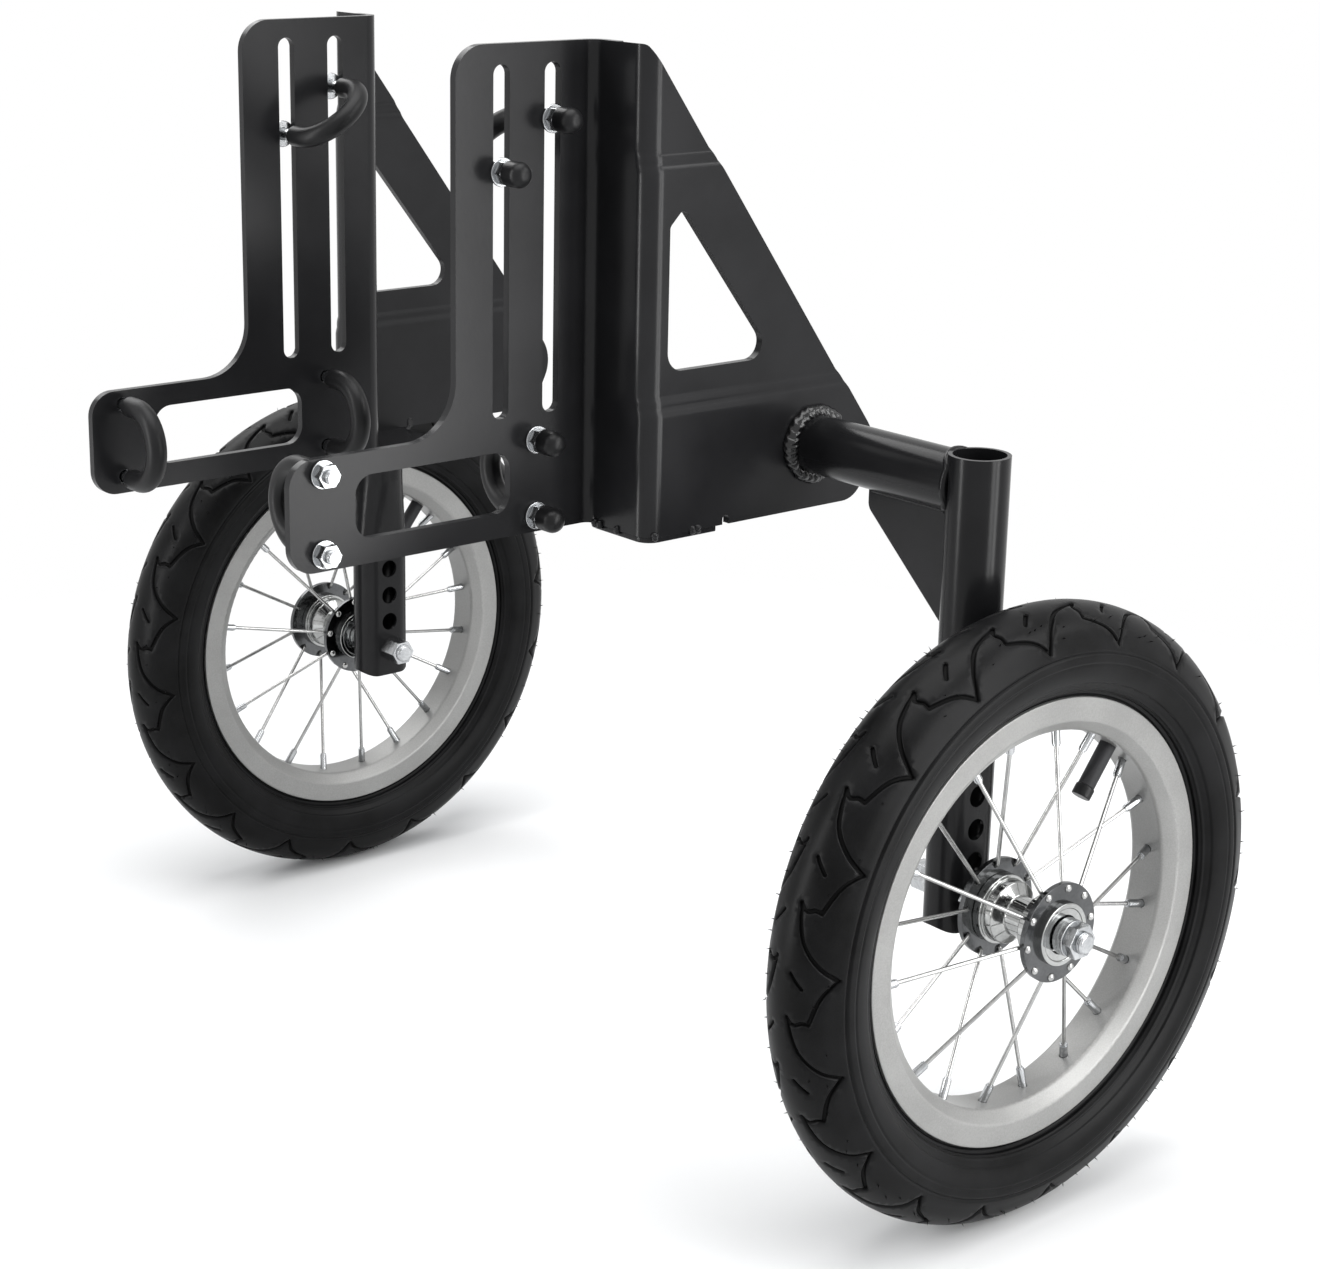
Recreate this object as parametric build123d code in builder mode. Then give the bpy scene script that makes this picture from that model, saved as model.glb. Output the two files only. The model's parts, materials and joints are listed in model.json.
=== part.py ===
"""Pair of bicycle training wheels: spoked wheels on welded arms with clamp-on brackets."""

import os
from math import cos, radians, sin, sqrt

from build123d import *

os.makedirs("parts", exist_ok=True)

# Frame: X forward, Y to the bicycle's left, Z up, floor at z = 0, millimetres.
# The left unit is drawn and the right one is its mirror image in the plane y = 0.
# Heights and fore-aft places below are measured from the wheel axle.

# Wheel
tyre_radius = 149.0
tyre_half_width = 22.0
tread_thickness = 5.8
rim_radius = 107.5
rim_half_width = 14.0
rim_lip_height = 6.0
rim_lip_thickness = 1.8
well_depth = 7.7
bed_thickness = 3.3
tape_thickness = 0.8
spokes_per_flange = 10
spoke_radius = 1.0
spoke_elbow_radius = 1.15
spoke_phase = 28.8
spoke_circle_radius = 21.1
nipple_radius = 2.0
nipple_length = 11.0
valve_angle = 127.8
valve_radius = 4.0
valve_length = 22.5
valve_hole = (-5.5, 8.5)
tape_hole = (1.5, 12.5)
valve_base_radius = 6.5
valve_base_thickness = 0.9
valve_base_overlap = 0.5
valve_tip_radius = 2.8
valve_tip_length = 3.5
valve_tip_root = 1.0
valve_cap_length = 5.5
valve_cap_wall = 0.6
spoke_head_radius = 2.0
spoke_head_height = 1.3
spoke_elbow_overlap = 0.6
spoke_end_lift = 1.5
nipple_head_radius = 3.0
nipple_head = (2.6, 4.0)
nipple_hole_clearance = 0.15
nipple_hole_depth = 5.0
rim_slope_width = 5.0
rim_slope_height = 6.0
rim_bend_radius = 3.0
rim_lip_rounding = 0.6
seat_inset = 4.4
well_inset = 6.6
tape_lift = 3.1
inner_tube_wall = 1.2
inner_tube_bend = 1.5

# Hub and axle
wheel_offset = 39.0
inner_flange_offset = 14.0
outer_flange_offset = 24.0
flange_radius = 23.7
flange_thickness = 2.6
hub_boss_radius = 15.0
hub_step_radius = 16.8
barrel_radius = 9.5
ball_radius = 2.38
balls_per_bearing = 9
race_radius = 6.4
running_gap = 0.05
dust_cap_radius = 12.6
axle_radius = 5.0
axle_inner_overhang = 16.5
axle_outer_overhang = 8.0
axle_chamfer = 0.9
axle_bare_end = 2.0
inner_nut_half_flats = 6.5
spacer_nut_half_flats = 8.5
locknut_half_flats = 7.5
locknut_height = 5.0
cone_inner_reach = 8.5
cone_outer_reach = 10.0
ball_inset = 2.0
race_ramp = (2.6, 4.2)
race_tail = 3.0
race_shoulder_height = 1.6
cone_step = 6.5
cone_step_height = 2.4
hub_boss_overhang = 4.2
hub_step_width = 4.5
hub_neck = (9.5, 13.0)
cup_mouth = 4.2
cup_depth = 3.4
hub_bore_clearance = 1.0
dust_cap_thickness = 1.6
dust_cap_offset = 3.0
inner_dust_cap_width = 4.3
outer_dust_cap_width = 3.4

# Bracket: one folded plate with two shallow steps in its outer wall
sheet = 4.0
bend_radius = 5.0
plate_y = 86.0
wall_x = 104.0
front_x = 181.5
arm_tip = 270.0
bracket_top = 387.0
outer_low = 132.0
outer_mid = 129.5
outer_high = 127.0
step_low = (217.0, 229.0)
step_high = (328.0, 340.0)
rear_x = -60.0
toe_corner = 12.0
toe_inner_corner = 25.0
plate_corner = 15.0
wall_peak_setback = 2.0
wall_peak_radius = 3.0
wall_tail_x = -44.0
wall_tail_rise = 28.0
wall_tail_radius = 20.0
wall_foot_x = -30.0
wall_foot_radius = 14.0
wall_window = [(91.0, 239.5), (91.0, 306.0), (83.0, 314.0), (24.5, 239.5)]
wall_window_radii = [9.0, 3.0, 3.0, 8.0]
notch_x = 55.0
notch_width = 4.0
notch_length = 9.0
notch_rounding = 1.9
foot_sheet = 3.0
foot_rear_x = 60.0
foot_inset = 1.0
trim_margin = 10.0
trim_split = 19.0

# Slots, window and bolt places on the inner plate
slot_width = 9.0
slot_above_stay = 30.0
slot_high = 378.0
slot_front_x = 156.5
slot_rear_x = 128.0
toe_window = (151.0, 236.0)
toe_window_height = 29.0
toe_window_rounding = 9.0
bolt_hole_clearance = 0.6
stay_height = 189.0
toe_below_stay = 26.0
toe_above_stay = 25.0
rear_clamp_x = 136.0
front_clamp_x = 253.0
seat_clamp_low = 331.0

# U-bolts, their sleeves and fasteners
leg_spacing = 36.0
rod_radius = 3.0
sleeve_radius = 5.0
stay_land = 0.25
sleeve_setback = 6.0
stay_radius = leg_spacing / 2 - sleeve_radius + stay_land
washer_thickness = 1.5
washer_radius = 6.5
nut_height = 5.0
nut_across_flats = 10.0
cap_radius = 5.8
cap_length = 11.5
cap_rounding = 5.0
rod_overhang = 8.0
bare_overhang = 3.0
slide_gap = 0.05

# Welded arm
tube_radius = 14.3
tube_wall = 2.0
arm_above_bottom = 32.0
leg_y = 240.0
leg_above_arm = 15.0
leg_bottom = -17.0
leg_taper = (70.0, 105.0)
leg_flat_half = 6.3
leg_half_flat = 10.5
leg_corner = 14.0
leg_split_angle = 26.0
axle_hole_radius = 5.2
axle_hole_pitch = 16.5
gusset_sheet = 4.0
gusset_reach = 67.0
gusset_drop = 73.0
gusset_tuck = 6.0
gusset_toe = 12.0
gusset_nose = 23.0
gusset_nose_radius = 6.0
weld_radius = 4.2

# Sizes that follow from those above
bead_seat_radius = rim_radius - rim_lip_height
well_radius = bead_seat_radius - well_depth
rim_bed_radius = well_radius - bed_thickness
lip_half_width = rim_half_width - rim_lip_thickness
seat_half_width = rim_half_width - seat_inset
well_half_width = rim_half_width - well_inset
tape_radii = (well_radius + tape_lift, well_radius + tape_lift + tape_thickness)
section_mid = (rim_radius + tyre_radius) / 2
spoke_end_radius = rim_bed_radius + spoke_end_lift
wheel_y = leg_y + wheel_offset
inner_flange_y = wheel_y - inner_flange_offset
outer_flange_y = wheel_y + outer_flange_offset
bracket_bottom = stay_height - toe_below_stay
toe_top = stay_height + toe_above_stay
slot_low = stay_height + slot_above_stay
bore_radius = tube_radius - tube_wall
arm_z = bracket_bottom + arm_above_bottom
leg_top = arm_z + leg_above_arm
axle_x = -(arm_tip - tyre_radius) / 2
axle_z = tyre_radius
axle_line = Axis((axle_x, 0, axle_z), (0, 1, 0))
meridian = Plane(origin=(axle_x, 0, axle_z), x_dir=(0, 1, 0), z_dir=(1, 0, 0))


def side(y):
    """Upright plane at distance y from the bicycle's middle; minus amounts extrude outwards."""
    return Plane(origin=(axle_x, y, axle_z), x_dir=(1, 0, 0), z_dir=(0, -1, 0))


def level(z):
    """Horizontal plane at height z over the axle, with its origin over the axle's middle."""
    return Plane(origin=(axle_x, 0, axle_z + z), x_dir=(1, 0, 0), z_dir=(0, 0, 1))


def polar(radius, angle, y):
    """Point of the wheel at a radius and an angle, measured from forward towards up."""
    a = radians(angle)
    return Vector(axle_x + radius * cos(a), y, axle_z + radius * sin(a))


def between(a, b):
    """Plane at the middle of the line from a to b, looking along it."""
    return Plane(origin=(a + b) * 0.5, z_dir=b - a)


def fold(z, outer):
    """Plan section of the folded plate at height z, with its outer wall standing at outer."""
    with BuildSketch(level(z)) as section:
        with BuildLine():
            FilletPolyline(
                (arm_tip, plate_y),
                (arm_tip, plate_y + sheet),
                (wall_x, plate_y + sheet),
                (wall_x, outer),
                (rear_x, outer),
                (rear_x, outer - sheet),
                (wall_x - sheet, outer - sheet),
                (wall_x - sheet, plate_y),
                radius=[0, 0, bend_radius, bend_radius + sheet, 0, 0, bend_radius, bend_radius + sheet],
                close=True,
            )
        make_face()
    return section.sketch


def save(builder, name):
    """Label a sub-part and write its STEP file."""
    builder.part.label = name
    export_step(builder.part, f"parts/{name}.step")


# Outlines that the folded plate is trimmed to: an L inside, a triangle outside
with BuildPart() as bracket_outline:
    with BuildSketch(side(plate_y - trim_margin)):
        with BuildLine():
            FilletPolyline(
                (wall_x - 40, bracket_bottom),
                (arm_tip, bracket_bottom),
                (arm_tip, toe_top),
                (front_x, toe_top),
                (front_x, bracket_top),
                (wall_x - 40, bracket_top),
                radius=[0, toe_corner, toe_corner, toe_inner_corner, plate_corner, 0],
                close=True,
            )
        make_face()
    extrude(amount=-trim_margin - trim_split)
    with BuildSketch(side(plate_y + trim_split)):
        with BuildLine():
            FilletPolyline(
                (wall_x + 30, bracket_bottom),
                (wall_x + 30, bracket_top),
                (wall_x - wall_peak_setback, bracket_top),
                (wall_tail_x, bracket_bottom + wall_tail_rise),
                (wall_foot_x, bracket_bottom),
                radius=[0, 0, wall_peak_radius, wall_tail_radius, wall_foot_radius],
                close=True,
            )
        make_face()
    extrude(amount=-50)

with BuildPart() as left_bracket:
    extrude(fold(bracket_bottom, outer_low), amount=step_low[0] - bracket_bottom)
    loft([fold(step_low[0], outer_low), fold(step_low[1], outer_mid)], ruled=True)
    extrude(fold(step_low[1], outer_mid), amount=step_high[0] - step_low[1])
    loft([fold(step_high[0], outer_mid), fold(step_high[1], outer_high)], ruled=True)
    extrude(fold(step_high[1], outer_high), amount=bracket_top - step_high[1])
    add(bracket_outline.part, mode=Mode.INTERSECT)
    # Two upright slots, the long window of the toe and the holes of the lower U-bolts
    with BuildSketch(side(plate_y - 5)):
        with Locations((slot_front_x, (slot_low + slot_high) / 2), (slot_rear_x, (slot_low + slot_high) / 2)):
            SlotOverall(slot_high - slot_low, slot_width, rotation=90)
        with Locations((sum(toe_window) / 2, stay_height)):
            RectangleRounded(toe_window[1] - toe_window[0], toe_window_height, toe_window_rounding)
        with Locations((rear_clamp_x, stay_height), (front_clamp_x, stay_height)):
            with GridLocations(1, leg_spacing, 1, 2):
                Circle(rod_radius + bolt_hole_clearance)
    extrude(amount=-sheet - 8, mode=Mode.SUBTRACT)
    # Three-cornered window of the outer wall
    with BuildSketch(side(outer_high - 15)):
        with BuildLine():
            FilletPolyline(*wall_window, radius=wall_window_radii, close=True)
        make_face()
    extrude(amount=-40, mode=Mode.SUBTRACT)
    # Relief notch in the bottom edge
    with BuildSketch(side(outer_low - 15)):
        with Locations((notch_x, bracket_bottom)):
            RectangleRounded(notch_width, notch_length, notch_rounding)
    extrude(amount=-40, mode=Mode.SUBTRACT)

# Plate that closes the folded channel from below
with BuildPart() as left_bracket_foot:
    with BuildSketch(level(bracket_bottom - foot_sheet)):
        with BuildLine():
            FilletPolyline(
                (foot_rear_x, plate_y + foot_inset),
                (wall_x - foot_inset, plate_y + foot_inset),
                (wall_x - foot_inset, outer_low - foot_inset),
                (foot_rear_x, outer_low - foot_inset),
                radius=[0, bend_radius + sheet - foot_inset, bend_radius + sheet - foot_inset, 0],
                close=True,
            )
        make_face()
    extrude(amount=foot_sheet)


# Leg tube: round at the top, pressed flat below for the axle
def leg_section(z, half_flat, half_width, half_length):
    """Level section of the leg: two sides that are flat, or bulge to a full circle, and round ends."""
    with BuildSketch(level(z)) as section:
        with Locations((0, leg_y)):
            with BuildSketch(mode=Mode.PRIVATE) as shape:
                with BuildLine():
                    if half_length > half_width + half_flat - 0.01:
                        Line((-half_flat, half_width), (half_flat, half_width))
                        Line((half_flat, -half_width), (-half_flat, -half_width))
                    else:
                        ThreePointArc((-half_flat, half_width), (0, half_length), (half_flat, half_width))
                        ThreePointArc((half_flat, -half_width), (0, -half_length), (-half_flat, -half_width))
                    ThreePointArc((half_flat, half_width), (half_length, 0), (half_flat, -half_width))
                    ThreePointArc((-half_flat, -half_width), (-half_length, 0), (-half_flat, half_width))
                make_face()
            add(shape.sketch)
    return section.sketch


def round_section(z, radius):
    """Round level section of the leg, split where the flat sides begin."""
    split = radians(leg_split_angle)
    return leg_section(z, radius * sin(split), radius * cos(split), radius)


def flat_section(z, inset):
    """Flattened level section of the leg, shrunk by the wall where inset is given."""
    return leg_section(z, leg_flat_half, leg_half_flat - inset, leg_flat_half + leg_half_flat - inset)


with BuildPart() as leg_void:
    extrude(flat_section(leg_bottom - 5, tube_wall), amount=leg_taper[0] - leg_bottom + 5)
    loft([flat_section(leg_taper[0], tube_wall), round_section(leg_taper[1], bore_radius)], ruled=True)
    extrude(round_section(leg_taper[1], bore_radius), amount=leg_top - leg_taper[1] + 5)

with BuildPart() as left_leg_tube:
    extrude(flat_section(leg_bottom, 0), amount=leg_taper[0] - leg_bottom)
    loft([flat_section(leg_taper[0], 0), round_section(leg_taper[1], tube_radius)], ruled=True)
    extrude(round_section(leg_taper[1], tube_radius), amount=leg_top - leg_taper[1])
    add(leg_void.part, mode=Mode.SUBTRACT)
    with BuildSketch(side(leg_y - 25)):
        with Locations(*[(0, axle_hole_pitch * i) for i in range(4)]):
            Circle(axle_hole_radius)
    extrude(amount=-50, mode=Mode.SUBTRACT)
    # Rounded lower corners
    with BuildSketch(side(leg_y - 25)):
        with BuildLine():
            FilletPolyline(
                (-22, leg_bottom),
                (22, leg_bottom),
                (22, leg_top),
                (-22, leg_top),
                radius=[leg_corner, leg_corner, 0, 0],
                close=True,
            )
        make_face()
    extrude(amount=-50, mode=Mode.INTERSECT)

# Arm tube: square on the outer wall, hollowed to fit round the leg
with BuildPart() as left_arm_tube:
    with BuildSketch(side(outer_low)):
        with Locations((0, arm_z)):
            Circle(tube_radius)
            Circle(bore_radius, mode=Mode.SUBTRACT)
    extrude(amount=-(leg_y - outer_low))
    with BuildSketch(level(arm_z - 40)):
        with Locations((0, leg_y)):
            Circle(tube_radius)
    extrude(amount=80, mode=Mode.SUBTRACT)

# Gusset in the corner under the arm
with BuildPart() as left_gusset:
    with BuildSketch(meridian.offset(-gusset_sheet / 2)):
        with BuildLine():
            FilletPolyline(
                (leg_y - gusset_reach, arm_z - gusset_tuck),
                (leg_y, arm_z - gusset_tuck),
                (leg_y, arm_z - gusset_drop),
                (leg_y - gusset_toe, arm_z - gusset_drop),
                (leg_y - gusset_reach, arm_z - gusset_nose),
                radius=[0, 0, 0, 0, gusset_nose_radius],
                close=True,
            )
        make_face()
    extrude(amount=gusset_sheet)
    with BuildSketch(side(outer_low)):
        with Locations((0, arm_z)):
            Circle(tube_radius)
    extrude(amount=-(leg_y - outer_low), mode=Mode.SUBTRACT)
    with BuildSketch(level(arm_z - 105)):
        with Locations((0, leg_y)):
            Circle(tube_radius)
    extrude(amount=130, mode=Mode.SUBTRACT)

# Weld round the arm's root
with BuildPart() as weld_beads:
    with BuildSketch(meridian):
        with Locations((outer_low, arm_z + tube_radius)):
            Circle(weld_radius)
        with Locations((outer_low - 5, arm_z)):
            Rectangle(10, 60, mode=Mode.SUBTRACT)
        with Locations((outer_low, arm_z)):
            Rectangle(20, 2 * tube_radius, mode=Mode.SUBTRACT)
    revolve(axis=Axis((axle_x, 0, axle_z + arm_z), (0, 1, 0)))
    mirror(about=Plane.XZ)


def bolt_plane(x, z, tilt=0.0):
    """Plane of a U-bolt centred on the stay: local x outwards, local y along the pair of legs."""
    a = radians(tilt)
    return Plane(
        origin=(axle_x + x, plate_y - stay_radius, axle_z + z), x_dir=(0, 1, 0), z_dir=(cos(a), 0, sin(a))
    )


def u_path(plane, reach):
    """Centre line of a U-bolt or of its sleeve, with legs that reach past the bend's centre."""
    half = leg_spacing / 2
    with BuildLine(plane) as path:
        Line((reach, half), (0, half))
        CenterArc((0, 0), half, 90, 180)
        Line((0, -half), (reach, -half))
    return path.line


seat_run = slot_front_x - slot_rear_x
seat_rise = sqrt(leg_spacing**2 - seat_run**2)
seat_clamp_x = (slot_front_x + slot_rear_x) / 2
seat_clamp_z = seat_clamp_low + seat_rise / 2
rear_plane = bolt_plane(rear_clamp_x, stay_height)
front_plane = bolt_plane(front_clamp_x, stay_height)
seat_plane = Plane(
    origin=(axle_x + seat_clamp_x, plate_y - stay_radius, axle_z + seat_clamp_z),
    x_dir=(0, 1, 0),
    z_dir=(seat_rise, 0, seat_run),
)
lower_feet = [(x, stay_height + s * leg_spacing / 2) for x in (rear_clamp_x, front_clamp_x) for s in (-1, 1)]
capped_feet = lower_feet[:2]
seat_feet = [(slot_front_x, seat_clamp_low), (slot_rear_x, seat_clamp_low + seat_rise)]
plate_face = plate_y + sheet
stay_to_face = stay_radius + sheet
long_reach = stay_to_face + washer_thickness + nut_height + rod_overhang
short_reach = stay_to_face + washer_thickness + nut_height + bare_overhang

with BuildPart() as left_chain_stay_u_bolts:
    for plane, reach in ((rear_plane, long_reach), (front_plane, short_reach)):
        path = u_path(plane, reach)
        with BuildSketch(Plane(origin=path @ 0, z_dir=path % 0)):
            Circle(rod_radius)
        sweep(path=path)

with BuildPart() as left_seat_stay_u_bolt:
    path = u_path(seat_plane, long_reach)
    with BuildSketch(Plane(origin=path @ 0, z_dir=path % 0)):
        Circle(rod_radius)
    sweep(path=path)

with BuildPart() as chain_stay_sleeves:
    for plane in (rear_plane, front_plane):
        path = u_path(plane, stay_radius - sleeve_setback)
        with BuildSketch(Plane(origin=path @ 0, z_dir=path % 0)):
            Circle(sleeve_radius)
            Circle(rod_radius, mode=Mode.SUBTRACT)
        sweep(path=path)
        with BuildSketch(plane.offset(-sleeve_radius)):
            Circle(stay_radius)
        extrude(amount=2 * sleeve_radius, mode=Mode.SUBTRACT)
    mirror(about=Plane.XZ)

with BuildPart() as left_seat_stay_sleeve:
    path = u_path(seat_plane, stay_radius - sleeve_setback)
    with BuildSketch(Plane(origin=path @ 0, z_dir=path % 0)):
        Circle(sleeve_radius)
        Circle(rod_radius, mode=Mode.SUBTRACT)
    sweep(path=path)
    with BuildSketch(seat_plane.offset(-sleeve_radius)):
        Circle(stay_radius)
    extrude(amount=2 * sleeve_radius, mode=Mode.SUBTRACT)

with BuildPart() as chain_stay_washers:
    with BuildSketch(side(plate_face)):
        with Locations(*lower_feet):
            Circle(washer_radius)
            Circle(rod_radius, mode=Mode.SUBTRACT)
    extrude(amount=-washer_thickness)
    mirror(about=Plane.XZ)

with BuildPart() as chain_stay_nuts:
    with BuildSketch(side(plate_face + washer_thickness)):
        with Locations(*lower_feet):
            RegularPolygon(nut_across_flats / 2, 6, major_radius=False)
            Circle(rod_radius, mode=Mode.SUBTRACT)
    extrude(amount=-nut_height)
    mirror(about=Plane.XZ)

with BuildPart() as chain_stay_caps:
    with BuildSketch(side(plate_face + washer_thickness + nut_height)):
        with Locations(*capped_feet):
            Circle(cap_radius)
    extrude(amount=-cap_length)
    fillet(chain_stay_caps.edges().group_by(Axis.Y)[-1], cap_rounding)
    with BuildSketch(side(plate_face + washer_thickness + nut_height)):
        with Locations(*capped_feet):
            Circle(rod_radius)
    extrude(amount=-rod_overhang, mode=Mode.SUBTRACT)
    mirror(about=Plane.XZ)

with BuildPart() as left_seat_stay_washers:
    with BuildSketch(side(plate_face + slide_gap)):
        with Locations(*seat_feet):
            Circle(washer_radius)
            Circle(rod_radius, mode=Mode.SUBTRACT)
    extrude(amount=-washer_thickness + slide_gap)

with BuildPart() as left_seat_stay_nuts:
    with BuildSketch(side(plate_face + washer_thickness)):
        with Locations(*seat_feet):
            RegularPolygon(nut_across_flats / 2, 6, major_radius=False)
            Circle(rod_radius, mode=Mode.SUBTRACT)
    extrude(amount=-nut_height)

with BuildPart() as left_seat_stay_caps:
    with BuildSketch(side(plate_face + washer_thickness + nut_height)):
        with Locations(*seat_feet):
            Circle(cap_radius)
    extrude(amount=-cap_length)
    fillet(left_seat_stay_caps.edges().group_by(Axis.Y)[-1], cap_rounding)
    with BuildSketch(side(plate_face + washer_thickness + nut_height)):
        with Locations(*seat_feet):
            Circle(rod_radius)
    extrude(amount=-rod_overhang, mode=Mode.SUBTRACT)

# Axle and what is screwed on it
leg_inner_face = leg_y - leg_half_flat
leg_outer_face = leg_y + leg_half_flat
cone_start = inner_flange_y - cone_inner_reach
outer_cone_end = outer_flange_y + cone_outer_reach
axle_inner_end = leg_inner_face - axle_inner_overhang
axle_outer_end = outer_cone_end + axle_outer_overhang

with BuildPart() as left_axle:
    with BuildSketch(side(axle_inner_end)):
        Circle(axle_radius)
    extrude(amount=-(axle_outer_end - axle_inner_end))
    chamfer(left_axle.edges().filter_by(GeomType.CIRCLE), axle_chamfer)

with BuildPart() as axle_nuts:
    with BuildSketch(side(axle_inner_end + axle_bare_end)):
        RegularPolygon(inner_nut_half_flats, 6, major_radius=False)
        Circle(axle_radius, mode=Mode.SUBTRACT)
    extrude(amount=-(leg_inner_face - axle_inner_end - axle_bare_end))
    with BuildSketch(side(leg_outer_face)):
        RegularPolygon(spacer_nut_half_flats, 6, major_radius=False)
        Circle(axle_radius, mode=Mode.SUBTRACT)
    extrude(amount=-(cone_start - leg_outer_face))
    with BuildSketch(side(outer_cone_end)):
        RegularPolygon(locknut_half_flats, 6, major_radius=False)
        Circle(axle_radius, mode=Mode.SUBTRACT)
    extrude(amount=-locknut_height)
    mirror(about=Plane.XZ)

ball_pitch = race_radius + running_gap + ball_radius
cup_radius = ball_pitch + ball_radius
inner_ball_y = inner_flange_y + ball_inset
outer_ball_y = outer_flange_y - ball_inset
shoulder_radius = race_radius + race_shoulder_height
cone_step_radius = race_radius + cone_step_height

with BuildPart() as bearing_cones:
    with BuildSketch(meridian):
        Polygon(
            (cone_start, axle_radius), (cone_start, shoulder_radius),
            (inner_ball_y - race_ramp[1], shoulder_radius), (inner_ball_y - race_ramp[0], race_radius),
            (inner_ball_y + race_tail, race_radius), (inner_ball_y + race_tail, axle_radius),
            align=None,
        )
        Polygon(
            (outer_ball_y - race_tail, axle_radius), (outer_ball_y - race_tail, race_radius),
            (outer_ball_y + race_ramp[0], race_radius), (outer_ball_y + race_ramp[1], shoulder_radius),
            (outer_ball_y + cone_step, shoulder_radius),
            (outer_ball_y + cone_step, cone_step_radius), (outer_cone_end, cone_step_radius),
            (outer_cone_end, axle_radius),
            align=None,
        )
    revolve(axis=axle_line)
    mirror(about=Plane.XZ)

# Hub
inner_side = inner_flange_y + flange_thickness / 2
outer_side = outer_flange_y - flange_thickness / 2
inner_boss_end = inner_flange_y - hub_boss_overhang
outer_boss_end = outer_flange_y + hub_boss_overhang
hub_bore_radius = race_radius + hub_bore_clearance
with BuildPart() as left_hub_shell:
    with BuildSketch(meridian):
        with BuildLine():
            Polyline(
                (inner_boss_end, dust_cap_radius), (inner_boss_end, hub_boss_radius),
                (inner_side, hub_boss_radius),
                (inner_side, hub_step_radius), (inner_side + hub_step_width, hub_step_radius),
                (inner_side + hub_step_width, hub_boss_radius), (inner_side + hub_neck[0], hub_boss_radius),
                (inner_side + hub_neck[1], barrel_radius), (outer_side - hub_neck[1], barrel_radius),
                (outer_side - hub_neck[0], hub_boss_radius), (outer_side - hub_step_width, hub_boss_radius),
                (outer_side - hub_step_width, hub_step_radius), (outer_side, hub_step_radius),
                (outer_side, hub_boss_radius), (outer_boss_end, hub_boss_radius),
                (outer_boss_end, dust_cap_radius), (outer_ball_y + cup_mouth, dust_cap_radius),
                (outer_ball_y + cup_mouth, cup_radius), (outer_ball_y - cup_depth, cup_radius),
                (outer_ball_y - cup_depth, hub_bore_radius), (inner_ball_y + cup_depth, hub_bore_radius),
                (inner_ball_y + cup_depth, cup_radius), (inner_ball_y - cup_mouth, cup_radius),
                (inner_ball_y - cup_mouth, dust_cap_radius),
                close=True,
            )
        make_face()
    revolve(axis=axle_line)

spoke_step = 360 / spokes_per_flange
inner_angles = [spoke_phase + spoke_step * (k + 0.5) for k in range(spokes_per_flange)]
outer_angles = [spoke_phase + spoke_step * k for k in range(spokes_per_flange)]
spoke_sets = []
for flange_y, toward, angles in ((inner_flange_y, 1, inner_angles), (outer_flange_y, -1, outer_angles)):
    near_y = flange_y + toward * (flange_thickness / 2 + spoke_radius)
    for angle in angles:
        spoke_sets.append((flange_y, toward, near_y, angle))

with BuildPart() as left_inner_flange:
    with BuildSketch(side(inner_flange_y - flange_thickness / 2)):
        Circle(flange_radius)
        Circle(hub_boss_radius, mode=Mode.SUBTRACT)
        with Locations(*[(spoke_circle_radius * cos(radians(a)), spoke_circle_radius * sin(radians(a)))
                         for a in inner_angles]):
            Circle(spoke_elbow_radius, mode=Mode.SUBTRACT)
    extrude(amount=-flange_thickness)

with BuildPart() as left_outer_flange:
    with BuildSketch(side(outer_flange_y - flange_thickness / 2)):
        Circle(flange_radius)
        Circle(hub_boss_radius, mode=Mode.SUBTRACT)
        with Locations(*[(spoke_circle_radius * cos(radians(a)), spoke_circle_radius * sin(radians(a)))
                         for a in outer_angles]):
            Circle(spoke_elbow_radius, mode=Mode.SUBTRACT)
    extrude(amount=-flange_thickness)

with BuildPart() as left_bearing_balls:
    for ball_y in (inner_ball_y, outer_ball_y):
        for k in range(balls_per_bearing):
            with Locations(polar(ball_pitch, 360 / balls_per_bearing * k, ball_y)):
                Sphere(ball_radius)

with BuildPart() as left_dust_caps:
    with BuildSketch(meridian):
        with Locations((inner_flange_y - dust_cap_offset, dust_cap_radius - inner_dust_cap_width / 2)):
            Rectangle(dust_cap_thickness, inner_dust_cap_width)
        with Locations((outer_flange_y + dust_cap_offset, dust_cap_radius - outer_dust_cap_width / 2)):
            Rectangle(dust_cap_thickness, outer_dust_cap_width)
    revolve(axis=axle_line)

# Spokes run on the hub side of each flange, with their heads outside it
with BuildPart() as left_spokes:
    for flange_y, toward, near_y, angle in spoke_sets:
        start = polar(spoke_circle_radius, angle, near_y)
        end = polar(spoke_end_radius, angle, wheel_y)
        with Locations(between(start, end)):
            Cylinder(spoke_radius, (end - start).length)
        head_y = flange_y - toward * (flange_thickness / 2 + spoke_head_height)
        stem_end = polar(spoke_circle_radius, angle, near_y + toward * spoke_elbow_overlap)
        head = polar(spoke_circle_radius, angle, head_y)
        with Locations(between(stem_end, head)):
            Cylinder(spoke_elbow_radius, (head - stem_end).length)
        head_root = polar(spoke_circle_radius, angle, flange_y - toward * flange_thickness / 2)
        with Locations(between(head_root, head)):
            Cylinder(spoke_head_radius, spoke_head_height)

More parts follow.
